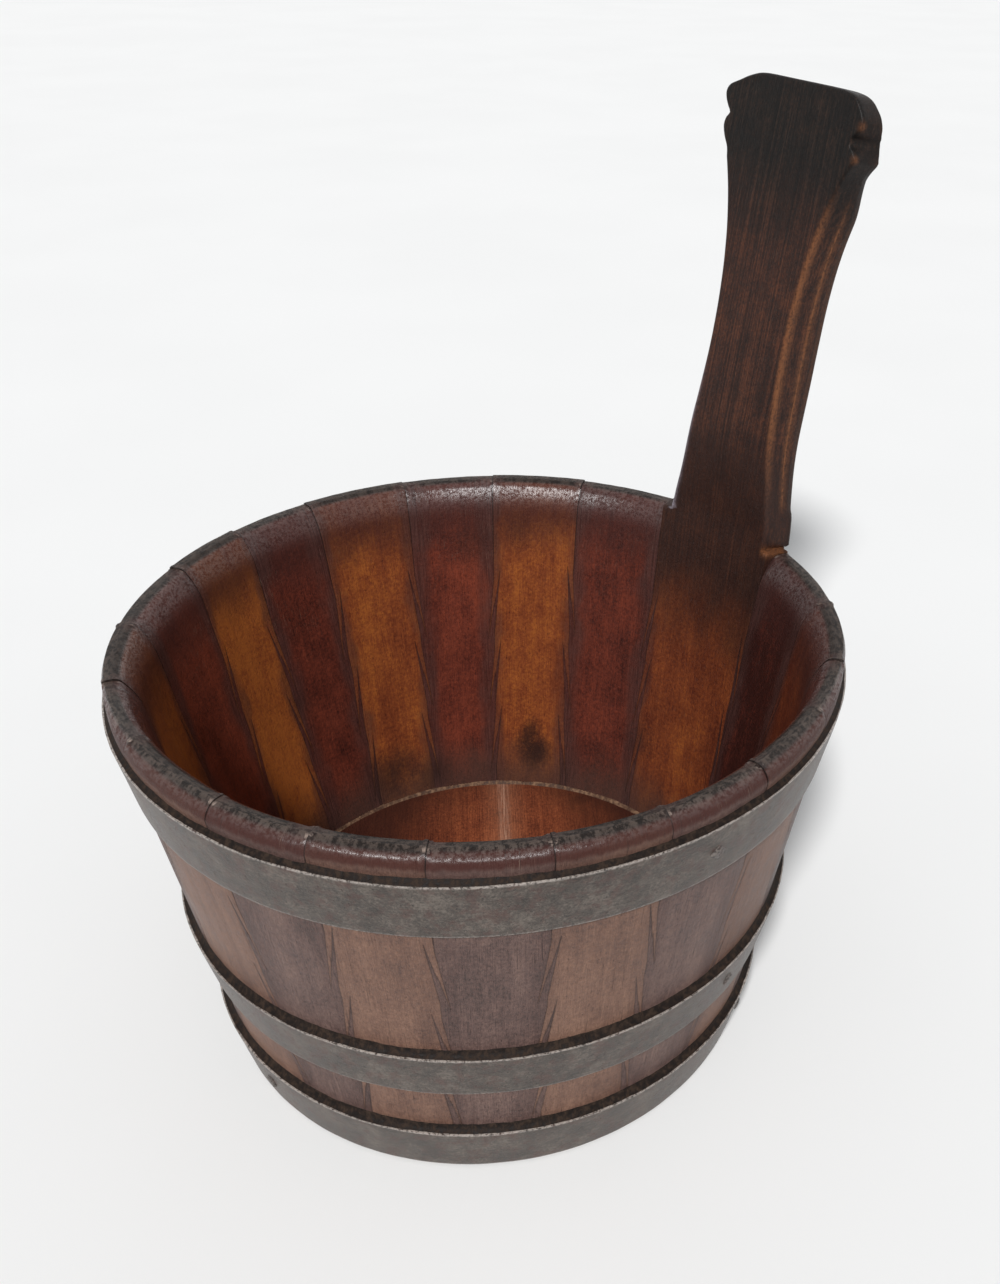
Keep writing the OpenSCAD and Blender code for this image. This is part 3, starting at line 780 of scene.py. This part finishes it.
# Nails of each hoop: azimuth, share of the hoop's width, turn of the head, and its height to its width
HOOP_NAILS = {
    "top_hoop": [(-93, 0.5, 45, 1.0)],
    "middle_hoop": [(-79, 0.52, 0, 0.6), (162, 0.55, 0, 0.8)],
    "bottom_hoop": [(-61, 0.4, 0, 0.6), (-175, 0.5, 0, 0.7)],
}
RIVET_R, RIVET_H = 3.5, 1.1
NAIL_HEAD, NAIL_H = 4.4, 0.9
HEAD_SUNK = -0.6


def on_hoop(name, azimuth, share, points):
    """Moves points from a fixing's own frame, +Z out of the hoop, to its place."""
    z, r = hoop_face(name, share)
    low, high = hoop_lines(name)
    tilt = math.atan(SLOPE + HOOP_OFF[name] / (high - low))
    around = Matrix.Rotation(math.radians(azimuth), 3, "Z")
    turn = around @ Matrix.Rotation(math.pi / 2 + tilt, 3, "Y")
    at = around @ Vector((r, 0, z))
    return np.array([tuple(turn @ Vector(p) + at) for p in points])


def pillow(width, height, rise, seed):
    """A forged head: a rounded block of width by height that stands up by rise."""
    n = 12
    points, faces = [], []
    for i in range(n + 1):
        for j in range(n + 1):
            u, v = 2 * i / n - 1, 2 * j / n - 1
            x, y = u * (1 - 0.06 * v * v), v * (1 - 0.06 * u * u)
            rough = 0.85 + 0.15 * noise.noise(Vector((u * 2, v * 2, seed)))
            lift = rise * (1 - max(abs(u), abs(v)) ** 6) * rough
            points.append((x * width / 2, y * height / 2, lift - 0.15))
    for i in range(n):
        for j in range(n):
            a = i * (n + 1) + j
            faces.append((a, a + n + 1, a + n + 2, a + 1))
    base = len(points)
    rim = [i * (n + 1) for i in range(n + 1)] + [n * (n + 1) + j for j in range(1, n + 1)]
    rim += [i * (n + 1) + n for i in range(n - 1, -1, -1)] + list(range(n - 1, 0, -1))
    points += [(points[i][0] * 0.9, points[i][1] * 0.9, HEAD_SUNK) for i in rim]
    m = len(rim)
    faces += [(rim[(i + 1) % m], rim[i], base + i, base + (i + 1) % m) for i in range(m)]
    faces.append(tuple(base + i for i in range(m)))
    return points, faces


def dome(radius, rise, seed):
    """A rivet's round head."""
    rings, columns = 8, 28
    turns = [TURN * j / columns for j in range(columns)]
    points = [(0, 0, rise)]
    for i in range(1, rings + 1):
        a = math.pi / 2 * i / rings
        for c in turns:
            r = radius * math.sin(a) * (1 + 0.05 * noise.noise(Vector((math.cos(c), math.sin(c), seed))))
            points.append((r * math.cos(c), r * math.sin(c), rise * (math.cos(a) ** 0.8)))
    points += [(0.85 * radius * math.cos(c), 0.85 * radius * math.sin(c), HEAD_SUNK) for c in turns]
    faces = [(0, 1 + j, 1 + (j + 1) % columns) for j in range(columns)]
    for i in range(rings):
        a = 1 + i * columns
        b = a + columns
        for j in range(columns):
            k = (j + 1) % columns
            faces.append((a + j, b + j, b + k, a + k))
    faces.append(tuple(1 + rings * columns + j for j in range(columns)))
    return points, faces


def fixings_piece(name, material):
    half_lap = math.degrees(LAP_LEN / 4 / hoop_face(name, 0.5)[1])
    heads = []
    for side in (-1, 1):
        heads.append((LAP_A[name] + side * half_lap, 0.5, LAP_STEP, 0, dome(RIVET_R, RIVET_H, side + 3)))
    for azimuth, share, quarter, narrow in HOOP_NAILS[name]:
        heads.append((azimuth, share, 0.1, quarter, pillow(NAIL_HEAD, NAIL_HEAD * narrow, NAIL_H, azimuth)))
    points, faces = [], []
    for azimuth, share, lift, quarter, (p, f) in heads:
        spin = Matrix.Rotation(math.radians(quarter), 3, "Z")
        moved = [tuple(spin @ Vector(q) + Vector((0, 0, lift))) for q in p]
        start = sum(len(q) for q in points)
        points.append(on_hoop(name, azimuth, share, moved))
        faces += [tuple(i + start for i in face) for face in f]
    p = np.vstack(points)
    new_piece(name + "_fixings", p, faces, material, "fixing_iron", smooth=50, wear=np.full(len(p), 0.3))


# Materials. Colours are written as they look in a picture, 0 to 255


def linear(colour):
    """A colour of a picture as the linear values that a shader takes."""
    shares = [v / 255 for v in colour]
    return tuple(v / 12.92 if v <= 0.04045 else ((v + 0.055) / 1.055) ** 2.4 for v in shares) + (1,)


class Graph:
    """A short way to write a material's nodes. Arguments may be numbers, colours or sockets."""

    def __init__(self, name):
        self.material = bpy.data.materials.new(name)
        self.material.use_nodes = True
        self.tree = self.material.node_tree
        self.tree.nodes.clear()
        self.out = self.tree.nodes.new("ShaderNodeOutputMaterial")

    def put(self, socket, value):
        if isinstance(value, bpy.types.NodeSocket):
            self.tree.links.new(value, socket)
        else:
            socket.default_value = value

    def node(self, kind, inputs=(), **settings):
        made = self.tree.nodes.new(kind)
        for key, value in settings.items():
            setattr(made, key, value)
        for key, value in dict(inputs).items():
            self.put(made.inputs[key], value)
        return made

    def attribute(self, name, output="Fac"):
        return self.node("ShaderNodeAttribute", attribute_name=name).outputs[output]

    def math(self, operation, *values):
        return self.node("ShaderNodeMath", enumerate(values), operation=operation).outputs[0]

    def times(self, first, *others):
        for value in others:
            first = self.math("MULTIPLY", first, value)
        return first

    def sum(self, *terms):
        """Adds up (value, weight) pairs."""
        total = 0.0
        for value, weight in terms:
            total = self.math("MULTIPLY_ADD", value, weight, total)
        return total

    def scaled(self, vector, scale, shift=(0, 0, 0)):
        inputs = {"Vector": vector, "Scale": scale, "Location": shift}
        return self.node("ShaderNodeMapping", inputs).outputs[0]

    def at_rest(self):
        """The piece's own coordinates at rest, in millimetres from the bucket's axis."""
        place = self.node("ShaderNodeTexCoord").outputs["Object"]
        return self.scaled(place, (1000, 1000, 1000), (-AXIS_X, 0, 0))

    def axis(self, vector, index):
        return self.node("ShaderNodeSeparateXYZ", {0: vector}).outputs[index]

    def distance(self, a, b):
        return self.node("ShaderNodeVectorMath", {0: a, 1: b}, operation="DISTANCE").outputs["Value"]

    def noise(self, vector, scale, detail, roughness=0.55, shift=(0, 0, 0)):
        """Noise with one scale for all directions, or one for each."""
        if isinstance(scale, tuple):
            vector, scale = self.scaled(vector, scale, shift), 1.0
        inputs = {"Vector": vector, "Scale": scale, "Detail": detail, "Roughness": roughness}
        return self.node("ShaderNodeTexNoise", inputs).outputs["Fac"]

    def range(self, value, low, high, to_low=0.0, to_high=1.0):
        inputs = {"Value": value, "From Min": low, "From Max": high, "To Min": to_low, "To Max": to_high}
        return self.node("ShaderNodeMapRange", inputs, interpolation_type="SMOOTHSTEP").outputs[0]

    def ramp(self, value, stops, tones):
        made = self.node("ShaderNodeValToRGB", {"Fac": value})
        elements = made.color_ramp.elements
        while len(elements) < len(stops):
            elements.new(0.5)
        for element, position, tone in zip(elements, stops, tones):
            element.position = position
            element.color = linear(tone)
        return made.outputs[0]

    def blend(self, factor, a, b):
        made = self.node("ShaderNodeMix", data_type="RGBA", blend_type="MIX")
        self.put(made.inputs["Factor"], factor)
        for index, value in ((6, a), (7, b)):
            self.put(made.inputs[index], linear(value) if isinstance(value, tuple) else value)
        return made.outputs[2]

    def over(self, colour, tint, *masks):
        """The colour with a tint over it where all the masks let it through."""
        return self.blend(self.times(*masks), colour, tint)

    def finish(self, colour, roughness, height, strength=0.6, **shader):
        inputs = {"Base Color": colour, "Roughness": roughness, **shader}
        for socket, share in (("Normal", 1.0), ("Coat Normal", 0.35)):
            bump = {"Height": height, "Strength": strength * share, "Distance": 0.0005}
            inputs[socket] = self.node("ShaderNodeBump", bump).outputs[0]
        made = self.node("ShaderNodeBsdfPrincipled", inputs)
        self.tree.links.new(made.outputs[0], self.out.inputs[0])
        return self.material


# Dark stains on the inner wall: azimuth in degrees, height, reach and strength
STAINS = [(41.3, 33, 9, 0.85), (42.5, 40, 7, 0.7), (24, 37, 9, 0.4), (81, 30, 13, 0.7), (11.5, 48, 9, 0.35),
          (57, 123, 11, 0.5), (47, 128, 9, 0.3), (70, 24, 10, 0.4), (103, 77, 9, 0.3), (-12, 110, 12, 0.4)]

# The board's painted light: the middle that is left lit while painted shade darkens the board round it, and
# how far across the grain its painted highlight line lies
BOARD_LIT = (37.0, 40.0, FLOOR_Z)
BOARD_HIGHLIGHT_LINE = -6.5

EVEN_STOPS = (0.38, 0.5, 0.62)


class WoodGraph(Graph):
    """A wood's graph with the fields that its layers share."""

    def __init__(self, name):
        super().__init__(name)
        self.grain = self.attribute("grain", "Vector")
        self.inside = self.attribute("inside")
        self.outside = self.math("SUBTRACT", 1.0, self.inside)
        self.wear = self.attribute("wear")
        self.place = self.at_rest()
        self.high = self.axis(self.place, 2)
        self.broad = self.noise(self.grain, (0.05, 0.05, 0.016), 2)
        self.streak = self.noise(self.grain, (0.30, 0.30, 0.010), 3, 0.6)
        self.fibre = self.noise(self.grain, (2.4, 2.4, 0.07), 4, 0.7)
        self.fine = self.noise(self.grain, (6.0, 6.0, 0.5), 2, 0.6)
        self.fleck = self.noise(self.place, 0.8, 4, 0.75)
        self.mottle = self.noise(self.place, 0.10, 4, 0.6)
        self.wander = self.noise(self.place, (0.09, 0.09, 0.05), 3)
        self.pores = self.range(self.noise(self.grain, (4.0, 4.0, 0.30), 2, 0.6), 0.60, 0.70)

    def within(self, outer_share, inner_share):
        """One share on the outside and another on the inside."""
        return self.range(self.inside, 0, 1, outer_share, inner_share)


def plain_wood(g, inner, outer, pore):
    """The wood itself, in three tones inside and three outside, with pores and dark specks."""
    # The per-stave tone value also carries painted shade on the staves beside the handle's right side
    figure = g.sum((g.streak, 0.18), (g.fibre, 0.34), (g.fine, 0.16), (g.fleck, 0.42), (g.broad, 0.30),
                   (g.mottle, 0.26), (g.attribute("tone"), 0.16), (1.0, -0.40))
    stops = (0.34, 0.50, 0.66)
    colour = g.blend(g.inside, g.ramp(figure, stops, outer), g.ramp(figure, stops, inner))
    colour = g.over(colour, (29, 20, 18), g.pores, pore)
    specks = g.range(g.noise(g.place, (1.8, 1.8, 1.0), 2, 0.5), 0.64, 0.72)
    return g.over(colour, (31, 22, 20), specks, 0.45)


def rim_layers(g, colour):
    """Dirt and dark wax at the rim, and the inner wall made darker towards its foot."""
    ragged = g.sum((g.high, 1.0), (g.wander, 16.0), (1.0, -8.0))
    colour = g.over(colour, (59, 33, 30), g.range(ragged, HEIGHT - 34, HEIGHT - 10), g.inside, 0.76)
    colour = g.over(colour, (80, 58, 53), g.range(g.high, HEIGHT - 11, HEIGHT - 8), g.outside, 0.5)
    uneven = g.sum((g.high, 1.0), (g.streak, 3.0), (1.0, -1.5))
    colour = g.over(colour, (58, 22, 16), g.range(uneven, HEIGHT - 6.0, HEIGHT - 4.2), g.outside, 0.8)
    colour = g.over(colour, (22, 18, 15), g.range(g.high, HEIGHT - 1.7, HEIGHT - 0.8), 0.95)
    # The inner wall is made darker towards its foot
    return g.over(colour, (66, 50, 44), g.range(ragged, FLOOR_Z + 26, FLOOR_Z + 2), g.inside, 0.75)


def joint_layers(g, colour, share, width):
    """The greyed bands beside the joints, in which the feathers lie, and cracks along the grain."""
    lines = g.range(g.noise(g.grain, (1.7, 1.7, 0.06), 4, 0.7, (3, 5, 7)), 0.36, 0.64)
    uneven = g.sum((g.attribute("band"), 1.0), (g.wander, -14.0), (g.fleck, -5.0), (1.0, 9.5))
    broken = g.range(g.sum((g.fibre, 0.6), (g.mottle, 0.4)), 0.36, 0.58, 0.55, 1.0)
    band = g.times(g.range(uneven, width, width * 0.25), g.within(0.30, 1.0), share, broken)
    colour = g.blend(band, colour, g.blend(lines, (46, 31, 30), (82, 54, 49)))
    cracks = g.range(g.noise(g.grain, (1.9, 1.9, 0.04), 3, 0.6, (11, 3, 5)), 0.60, 0.67)
    return g.over(colour, (34, 22, 20), cracks, g.range(g.mottle, 0.42, 0.58, 0.15, 0.6), g.within(1.0, 0.35))


def stain_layers(g, colour):
    """The dark stains, and the dark line of each joint."""
    for azimuth, high, reach, strength in STAINS:
        a = math.radians(azimuth)
        r = inner_r(high)
        away = g.distance(g.place, (r * math.cos(a), r * math.sin(a), high))
        ragged = g.sum((away, 1.0), (g.wander, 12.0), (g.fleck, 6.0), (1.0, -9.0))
        colour = g.over(colour, (38, 27, 25), g.range(ragged, reach * 1.3, 0.0), g.inside, strength)
    seam = g.range(g.attribute("edge"), 0.34, 0.04)
    return g.over(colour, (25, 18, 16), seam, g.range(g.high, HEIGHT - 50, HEIGHT - 15, 0.4, 0.8))


def rim_shine(g, coat):
    """How strong the wax's shine is: strongest in patches at the rim's two edges."""
    shine_in = g.times(g.range(g.high, HEIGHT - 12, HEIGHT - 5, 0.0, 0.95), g.inside)
    shine_out = g.times(g.range(g.high, HEIGHT - 3.6, HEIGHT - 2.0, 0.0, 0.8), g.outside)
    shine = g.times(g.sum((shine_in, 1.0), (shine_out, 1.0)), g.range(g.fleck, 0.40, 0.56))
    shine = g.times(shine, g.range(g.high, HEIGHT - 0.5, HEIGHT - 1.5))
    return g.sum((g.wear, 0.4), (shine, 1.0), (1.0, coat))


def board_layers(g, colour):
    """Painted light on the board: painted shade darkening it away from a lit middle, and a pale painted
    highlight line along its grain.
    """
    away = g.distance(g.place, BOARD_LIT)
    ragged = g.sum((away, 1.0), (g.mottle, 36.0), (g.broad, 24.0), (1.0, -30.0))
    # Painted shade: the board darkened away from its lit middle
    colour = g.over(colour, (50, 26, 21), g.range(ragged, 14.0, 52.0, 0.0, 0.9))
    # Painted highlight: a pale line along the grain, soft at its sides and brighter at its core
    across = g.math("ABSOLUTE", g.sum((g.axis(g.grain, 0), 1.0), (1.0, -BOARD_HIGHLIGHT_LINE)))
    highlight_glow = g.range(across, 12.0, 0.0, 0.0, 0.24)
    colour = g.over(colour, (190, 136, 104), highlight_glow, g.range(g.fibre, 0.3, 0.6, 0.4, 1.0))
    highlight_core = g.range(across, 3.4, 0.4, 0.0, 0.34)
    return g.over(colour, (206, 174, 152), highlight_core, g.range(g.fibre, 0.4, 0.6, 0.2, 1.0))


def handle_layers(g, colour):
    """The grip's dark brown, near black at the head, and the paler wood where hands wore its edges. Part of
    that paler tone is painted highlight: the pale violet-grey along the left edge, and the head's two right
    tips.
    """
    rise = g.axis(g.grain, 2)
    ragged = g.sum((rise, 1.0), (g.wander, 22.0), (g.mottle, 14.0), (1.0, -18.0))
    strand = g.noise(g.grain, (1.1, 1.1, 0.012), 5, 0.7, (9, 2, 4))
    figure = g.sum((strand, 0.55), (g.fine, 0.25), (g.fleck, 0.25), (g.mottle, 0.25), (1.0, -0.15))
    brown = g.ramp(figure, EVEN_STOPS, ((28, 16, 13), (54, 32, 25), (92, 54, 37)))
    brown = g.over(brown, (46, 30, 26), g.range(rise, HEIGHT + 44, HEIGHT + 30), 0.6)
    black = g.ramp(figure, EVEN_STOPS, ((8, 6, 5), (17, 12, 10), (48, 34, 27)))
    brown = g.blend(g.range(ragged, HEIGHT + 100, HEIGHT + 150), brown, black)
    brown = g.over(brown, (25, 20, 18), g.pores, 0.4)
    colour = g.over(colour, brown, g.range(ragged, HEIGHT - 66, HEIGHT - 14), g.within(0.6, 1.0))
    worn_and_highlit = g.range(g.sum((g.fibre, 0.5), (g.fleck, 0.5)), 0.40, 0.56, 0.25, 0.95)
    # Worn orange on the right; on the left a pale violet-grey that is a painted highlight along that arris
    worn_tone = g.blend(g.range(g.axis(g.grain, 0), 2, 12), (120, 76, 48), (160, 152, 162))
    return g.over(colour, worn_tone, g.wear, worn_and_highlit)


def wood(name, inner, outer, kind, pore, scratch, band_share=0.6, band_width=5.0, coat=0.12):
    """Old waxed wood. inner and outer hold three tones each, dark to light."""
    g = WoodGraph(name)
    colour = plain_wood(g, inner, outer, pore)
    if kind == "board":
        colour = board_layers(g, colour)
    else:
        colour = rim_layers(g, colour)
        colour = joint_layers(g, colour, band_share, band_width)
    if kind == "stave":
        # Pale rubbed line at the top arris: wear that also serves as a painted highlight
        rubbed_highlight = g.range(g.sum((g.streak, 0.5), (g.fleck, 0.5)), 0.44, 0.56, 0.0, 0.75)
        colour = g.over(colour, (170, 150, 138), g.wear, rubbed_highlight)
        coat = rim_shine(g, coat)
    if kind != "board":
        colour = stain_layers(g, colour)
    scratched = g.range(g.high, HEIGHT - 75, HEIGHT - 20)
    if kind == "handle":
        colour = handle_layers(g, colour)
        scratched = g.range(g.high, HEIGHT - 10, HEIGHT + 60, 0.0, 0.8)
    scrape = g.noise(g.grain, (5.5, 5.5, 0.16), 3, 0.6, (31, 7, 3))
    patch = g.range(g.noise(g.place, 0.07, 3), 0.42, 0.62)
    pale = g.times(g.range(scrape, 0.60, 0.70), patch, scratched)
    colour = g.over(colour, (150, 128, 112), pale, scratch)
    rough = g.sum((g.mottle, 0.35), (g.fleck, 0.25), (pale, 0.1), (1.0, 0.14))
    height = g.sum((g.fibre, 0.6), (g.pores, -0.6), (g.fleck, 0.9), (g.fine, 0.3), (scrape, 0.9),
                   (pale, -0.4))
    return g.finish(colour, rough, height,
                    **{"Specular IOR Level": 0.11, "Coat Weight": coat, "Coat Roughness": 0.26})


def iron(name, tones):
    """Old wrought iron with thin rust, pits and bare edges. The bare upper arris of each hoop is also made
    pale enough to be a painted highlight.
    """
    g = Graph(name)
    wear = g.attribute("wear")
    place = g.at_rest()
    mottle = g.noise(place, 0.10, 5, 0.7)
    grit = g.noise(place, 1.1, 4, 0.75)
    drawn = g.noise(place, (0.25, 0.25, 1.8), 3)
    mixed = g.sum((mottle, 0.55), (grit, 0.55), (drawn, 0.15), (1.0, -0.125))
    colour = g.ramp(mixed, EVEN_STOPS, tones)
    colour = g.over(colour, (78, 48, 42), g.range(g.noise(place, 0.22, 5, 0.7), 0.46, 0.66, 0.0, 0.5))
    pits = g.range(g.noise(place, 0.8, 3, 0.7), 0.60, 0.68)
    colour = g.over(colour, (31, 27, 24), pits, 0.6)
    # Pale bare iron at worn edges, which on the hoops' upper arris is also a painted highlight
    colour = g.over(colour, (184, 174, 166), wear, g.range(grit, 0.38, 0.56), 0.8)
    rough = g.range(g.sum((grit, 0.6), (mottle, 0.4)), 0.35, 0.65, 0.34, 0.56)
    height = g.sum((mixed, 1.0), (pits, -0.6))
    coat = g.range(wear, 0.3, 1.0, 0.1, 0.8)
    return g.finish(colour, rough, height, Metallic=0.1,
                    **{"Specular IOR Level": 0.3, "Coat Weight": coat, "Coat Roughness": 0.12})


def grime(name, tones, pale):
    """Packed wax and dirt with short upright fibres in it."""
    g = Graph(name)
    clot = g.noise(g.at_rest(), 0.55, 4, 0.65)
    hairs = g.noise(g.attribute("grain", "Vector"), (2.6, 0.25, 1.0), 3, 0.6)
    colour = g.over(g.ramp(clot, EVEN_STOPS, tones), pale, g.range(hairs, 0.56, 0.74, 0.0, 0.25))
    return g.finish(colour, g.range(clot, 0.3, 0.7, 0.45, 0.75), clot, **{"Specular IOR Level": 0.1})


LIGHT_IN = ((84, 38, 25), (122, 62, 34), (156, 88, 40))
LIGHT_OUT = ((86, 64, 57), (115, 86, 73), (139, 107, 90))
DARK_IN = ((50, 24, 21), (94, 43, 32), (124, 58, 40))
DARK_OUT = ((62, 50, 47), (97, 76, 71), (124, 100, 91))
BOARD_IN = ((72, 35, 26), (122, 64, 41), (160, 90, 56))

stave_woods = {
    "light_wood": wood("light_wood", LIGHT_IN, LIGHT_OUT, "stave", 0.3, 0.15),
    "dark_wood": wood("dark_wood", DARK_IN, DARK_OUT, "stave", 0.55, 0.5, band_share=0.8, band_width=9.0),
}
handle_wood = wood("handle_wood", LIGHT_IN, LIGHT_OUT, "handle", 0.35, 0.25, band_share=0.5)
board_wood = wood("board_wood", BOARD_IN, BOARD_IN, "board", 0.3, 0.1, coat=0.2)
hoop_iron = iron("hoop_iron", ((48, 42, 37), (76, 68, 62), (108, 99, 91)))
fixing_iron = iron("fixing_iron", ((26, 21, 20), (44, 37, 35), (70, 62, 58)))
ledge_grime = grime("ledge_grime", ((22, 17, 15), (34, 26, 22), (52, 41, 34)), (82, 62, 46))
seam_grime = grime("seam_grime", ((66, 46, 36), (90, 66, 51), (122, 94, 73)), (146, 118, 92))

handle_piece(handle_wood)
for k in range(1, STAVES):
    slot = "light_wood" if is_light(k) else "dark_wood"
    stave_piece(k, stave_woods[slot], slot)
board_piece(board_wood)
for hoop in HOOP_OFF:
    hoop_piece(hoop, hoop_iron)
    fixings_piece(hoop, fixing_iron)
    hoop_grime(hoop, 1.3 if hoop == "top_hoop" else 2.2, ledge_grime)
floor_grime(seam_grime)


# Floor, light and camera

CAMERA_AT = (AXIS_X / 1000 - 0.24272, -0.3447, 0.3905)
CAMERA_HEADING = math.radians(42.65)
CAMERA_DIP = math.radians(22.63)
CAMERA_ROLL = math.radians(1.375)
LENS = 38.79
SHIFT = (-0.1147, -0.1547)

# A small hard light a little above and left of the lens, aimed at the bucket, and even light all round
FLASH_OFFSET = (-0.10, 0.11, 0.0)
FLASH_AIM = (AXIS_X / 1000, 0, 0.1)
FLASH = 2.9
FLASH_SPREAD = math.radians(7)
AMBIENT = 0.4
FLOOR_SIZE = 4.0


def make_camera():
    """Makes the scene's camera and gives its turn."""
    data = bpy.data.cameras.new("camera")
    data.lens = LENS
    data.sensor_width = 36
    data.shift_x, data.shift_y = SHIFT
    data.clip_start = 0.01
    camera = bpy.data.objects.new("camera", data)
    turn = (Matrix.Rotation(-CAMERA_HEADING, 4, "Z") @ Matrix.Rotation(math.pi / 2 - CAMERA_DIP, 4, "X")
            @ Matrix.Rotation(CAMERA_ROLL, 4, "Z"))
    camera.matrix_world = Matrix.Translation(CAMERA_AT) @ turn
    bpy.context.scene.collection.objects.link(camera)
    bpy.context.scene.camera = camera
    return turn


def make_flash(camera_turn):
    """A sun lamp that shines from beside the lens."""
    data = bpy.data.lights.new("flash", "SUN")
    data.energy = FLASH
    data.angle = FLASH_SPREAD
    lamp = bpy.data.objects.new("flash", data)
    come_from = Vector(CAMERA_AT) + camera_turn @ Vector(FLASH_OFFSET) - Vector(FLASH_AIM)
    lamp.rotation_mode = "QUATERNION"
    lamp.rotation_quaternion = (-come_from).to_track_quat("-Z", "Y")
    bpy.context.scene.collection.objects.link(lamp)


def make_floor():
    corners = [(x * FLOOR_SIZE, y * FLOOR_SIZE, 0) for x, y in ((-1, -1), (1, -1), (1, 1), (-1, 1))]
    mesh = bpy.data.meshes.new("floor")
    mesh.from_pydata(corners, [], [(0, 1, 2, 3)])
    g = Graph("floor")
    mottle = g.noise(g.at_rest(), 0.004, 2)
    colour = g.blend(g.range(mottle, 0.3, 0.7), (240, 240, 239), (242, 242, 241))
    mesh.materials.append(g.finish(colour, 0.8, mottle, strength=0.0))
    floor = bpy.data.objects.new("floor", mesh)
    bpy.context.scene.collection.objects.link(floor)


def make_world():
    """Even light, and a pale background for the camera, for mirrored rays and for rays let through."""
    world = bpy.data.worlds.new("world")
    world.use_nodes = True
    tree = world.node_tree
    back = tree.nodes["Background"]
    back.inputs[0].default_value = (0.95, 0.97, 1.0, 1)
    back.inputs[1].default_value = AMBIENT
    show = tree.nodes.new("ShaderNodeBackground")
    show.inputs[0].default_value = (0.83, 0.83, 0.83, 1)
    show.inputs[1].default_value = 1.0
    path = tree.nodes.new("ShaderNodeLightPath")
    swap = tree.nodes.new("ShaderNodeMixShader")
    seen = path.outputs["Is Camera Ray"]
    for ray in ("Is Glossy Ray", "Is Transmission Ray"):
        either = tree.nodes.new("ShaderNodeMath")
        either.operation = "MAXIMUM"
        tree.links.new(seen, either.inputs[0])
        tree.links.new(path.outputs[ray], either.inputs[1])
        seen = either.outputs[0]
    tree.links.new(seen, swap.inputs[0])
    tree.links.new(back.outputs[0], swap.inputs[1])
    tree.links.new(show.outputs[0], swap.inputs[2])
    tree.links.new(swap.outputs[0], tree.nodes["World Output"].inputs[0])
    bpy.context.scene.world = world


make_flash(make_camera())
make_floor()
make_world()
bpy.context.scene.view_settings.view_transform = "Standard"
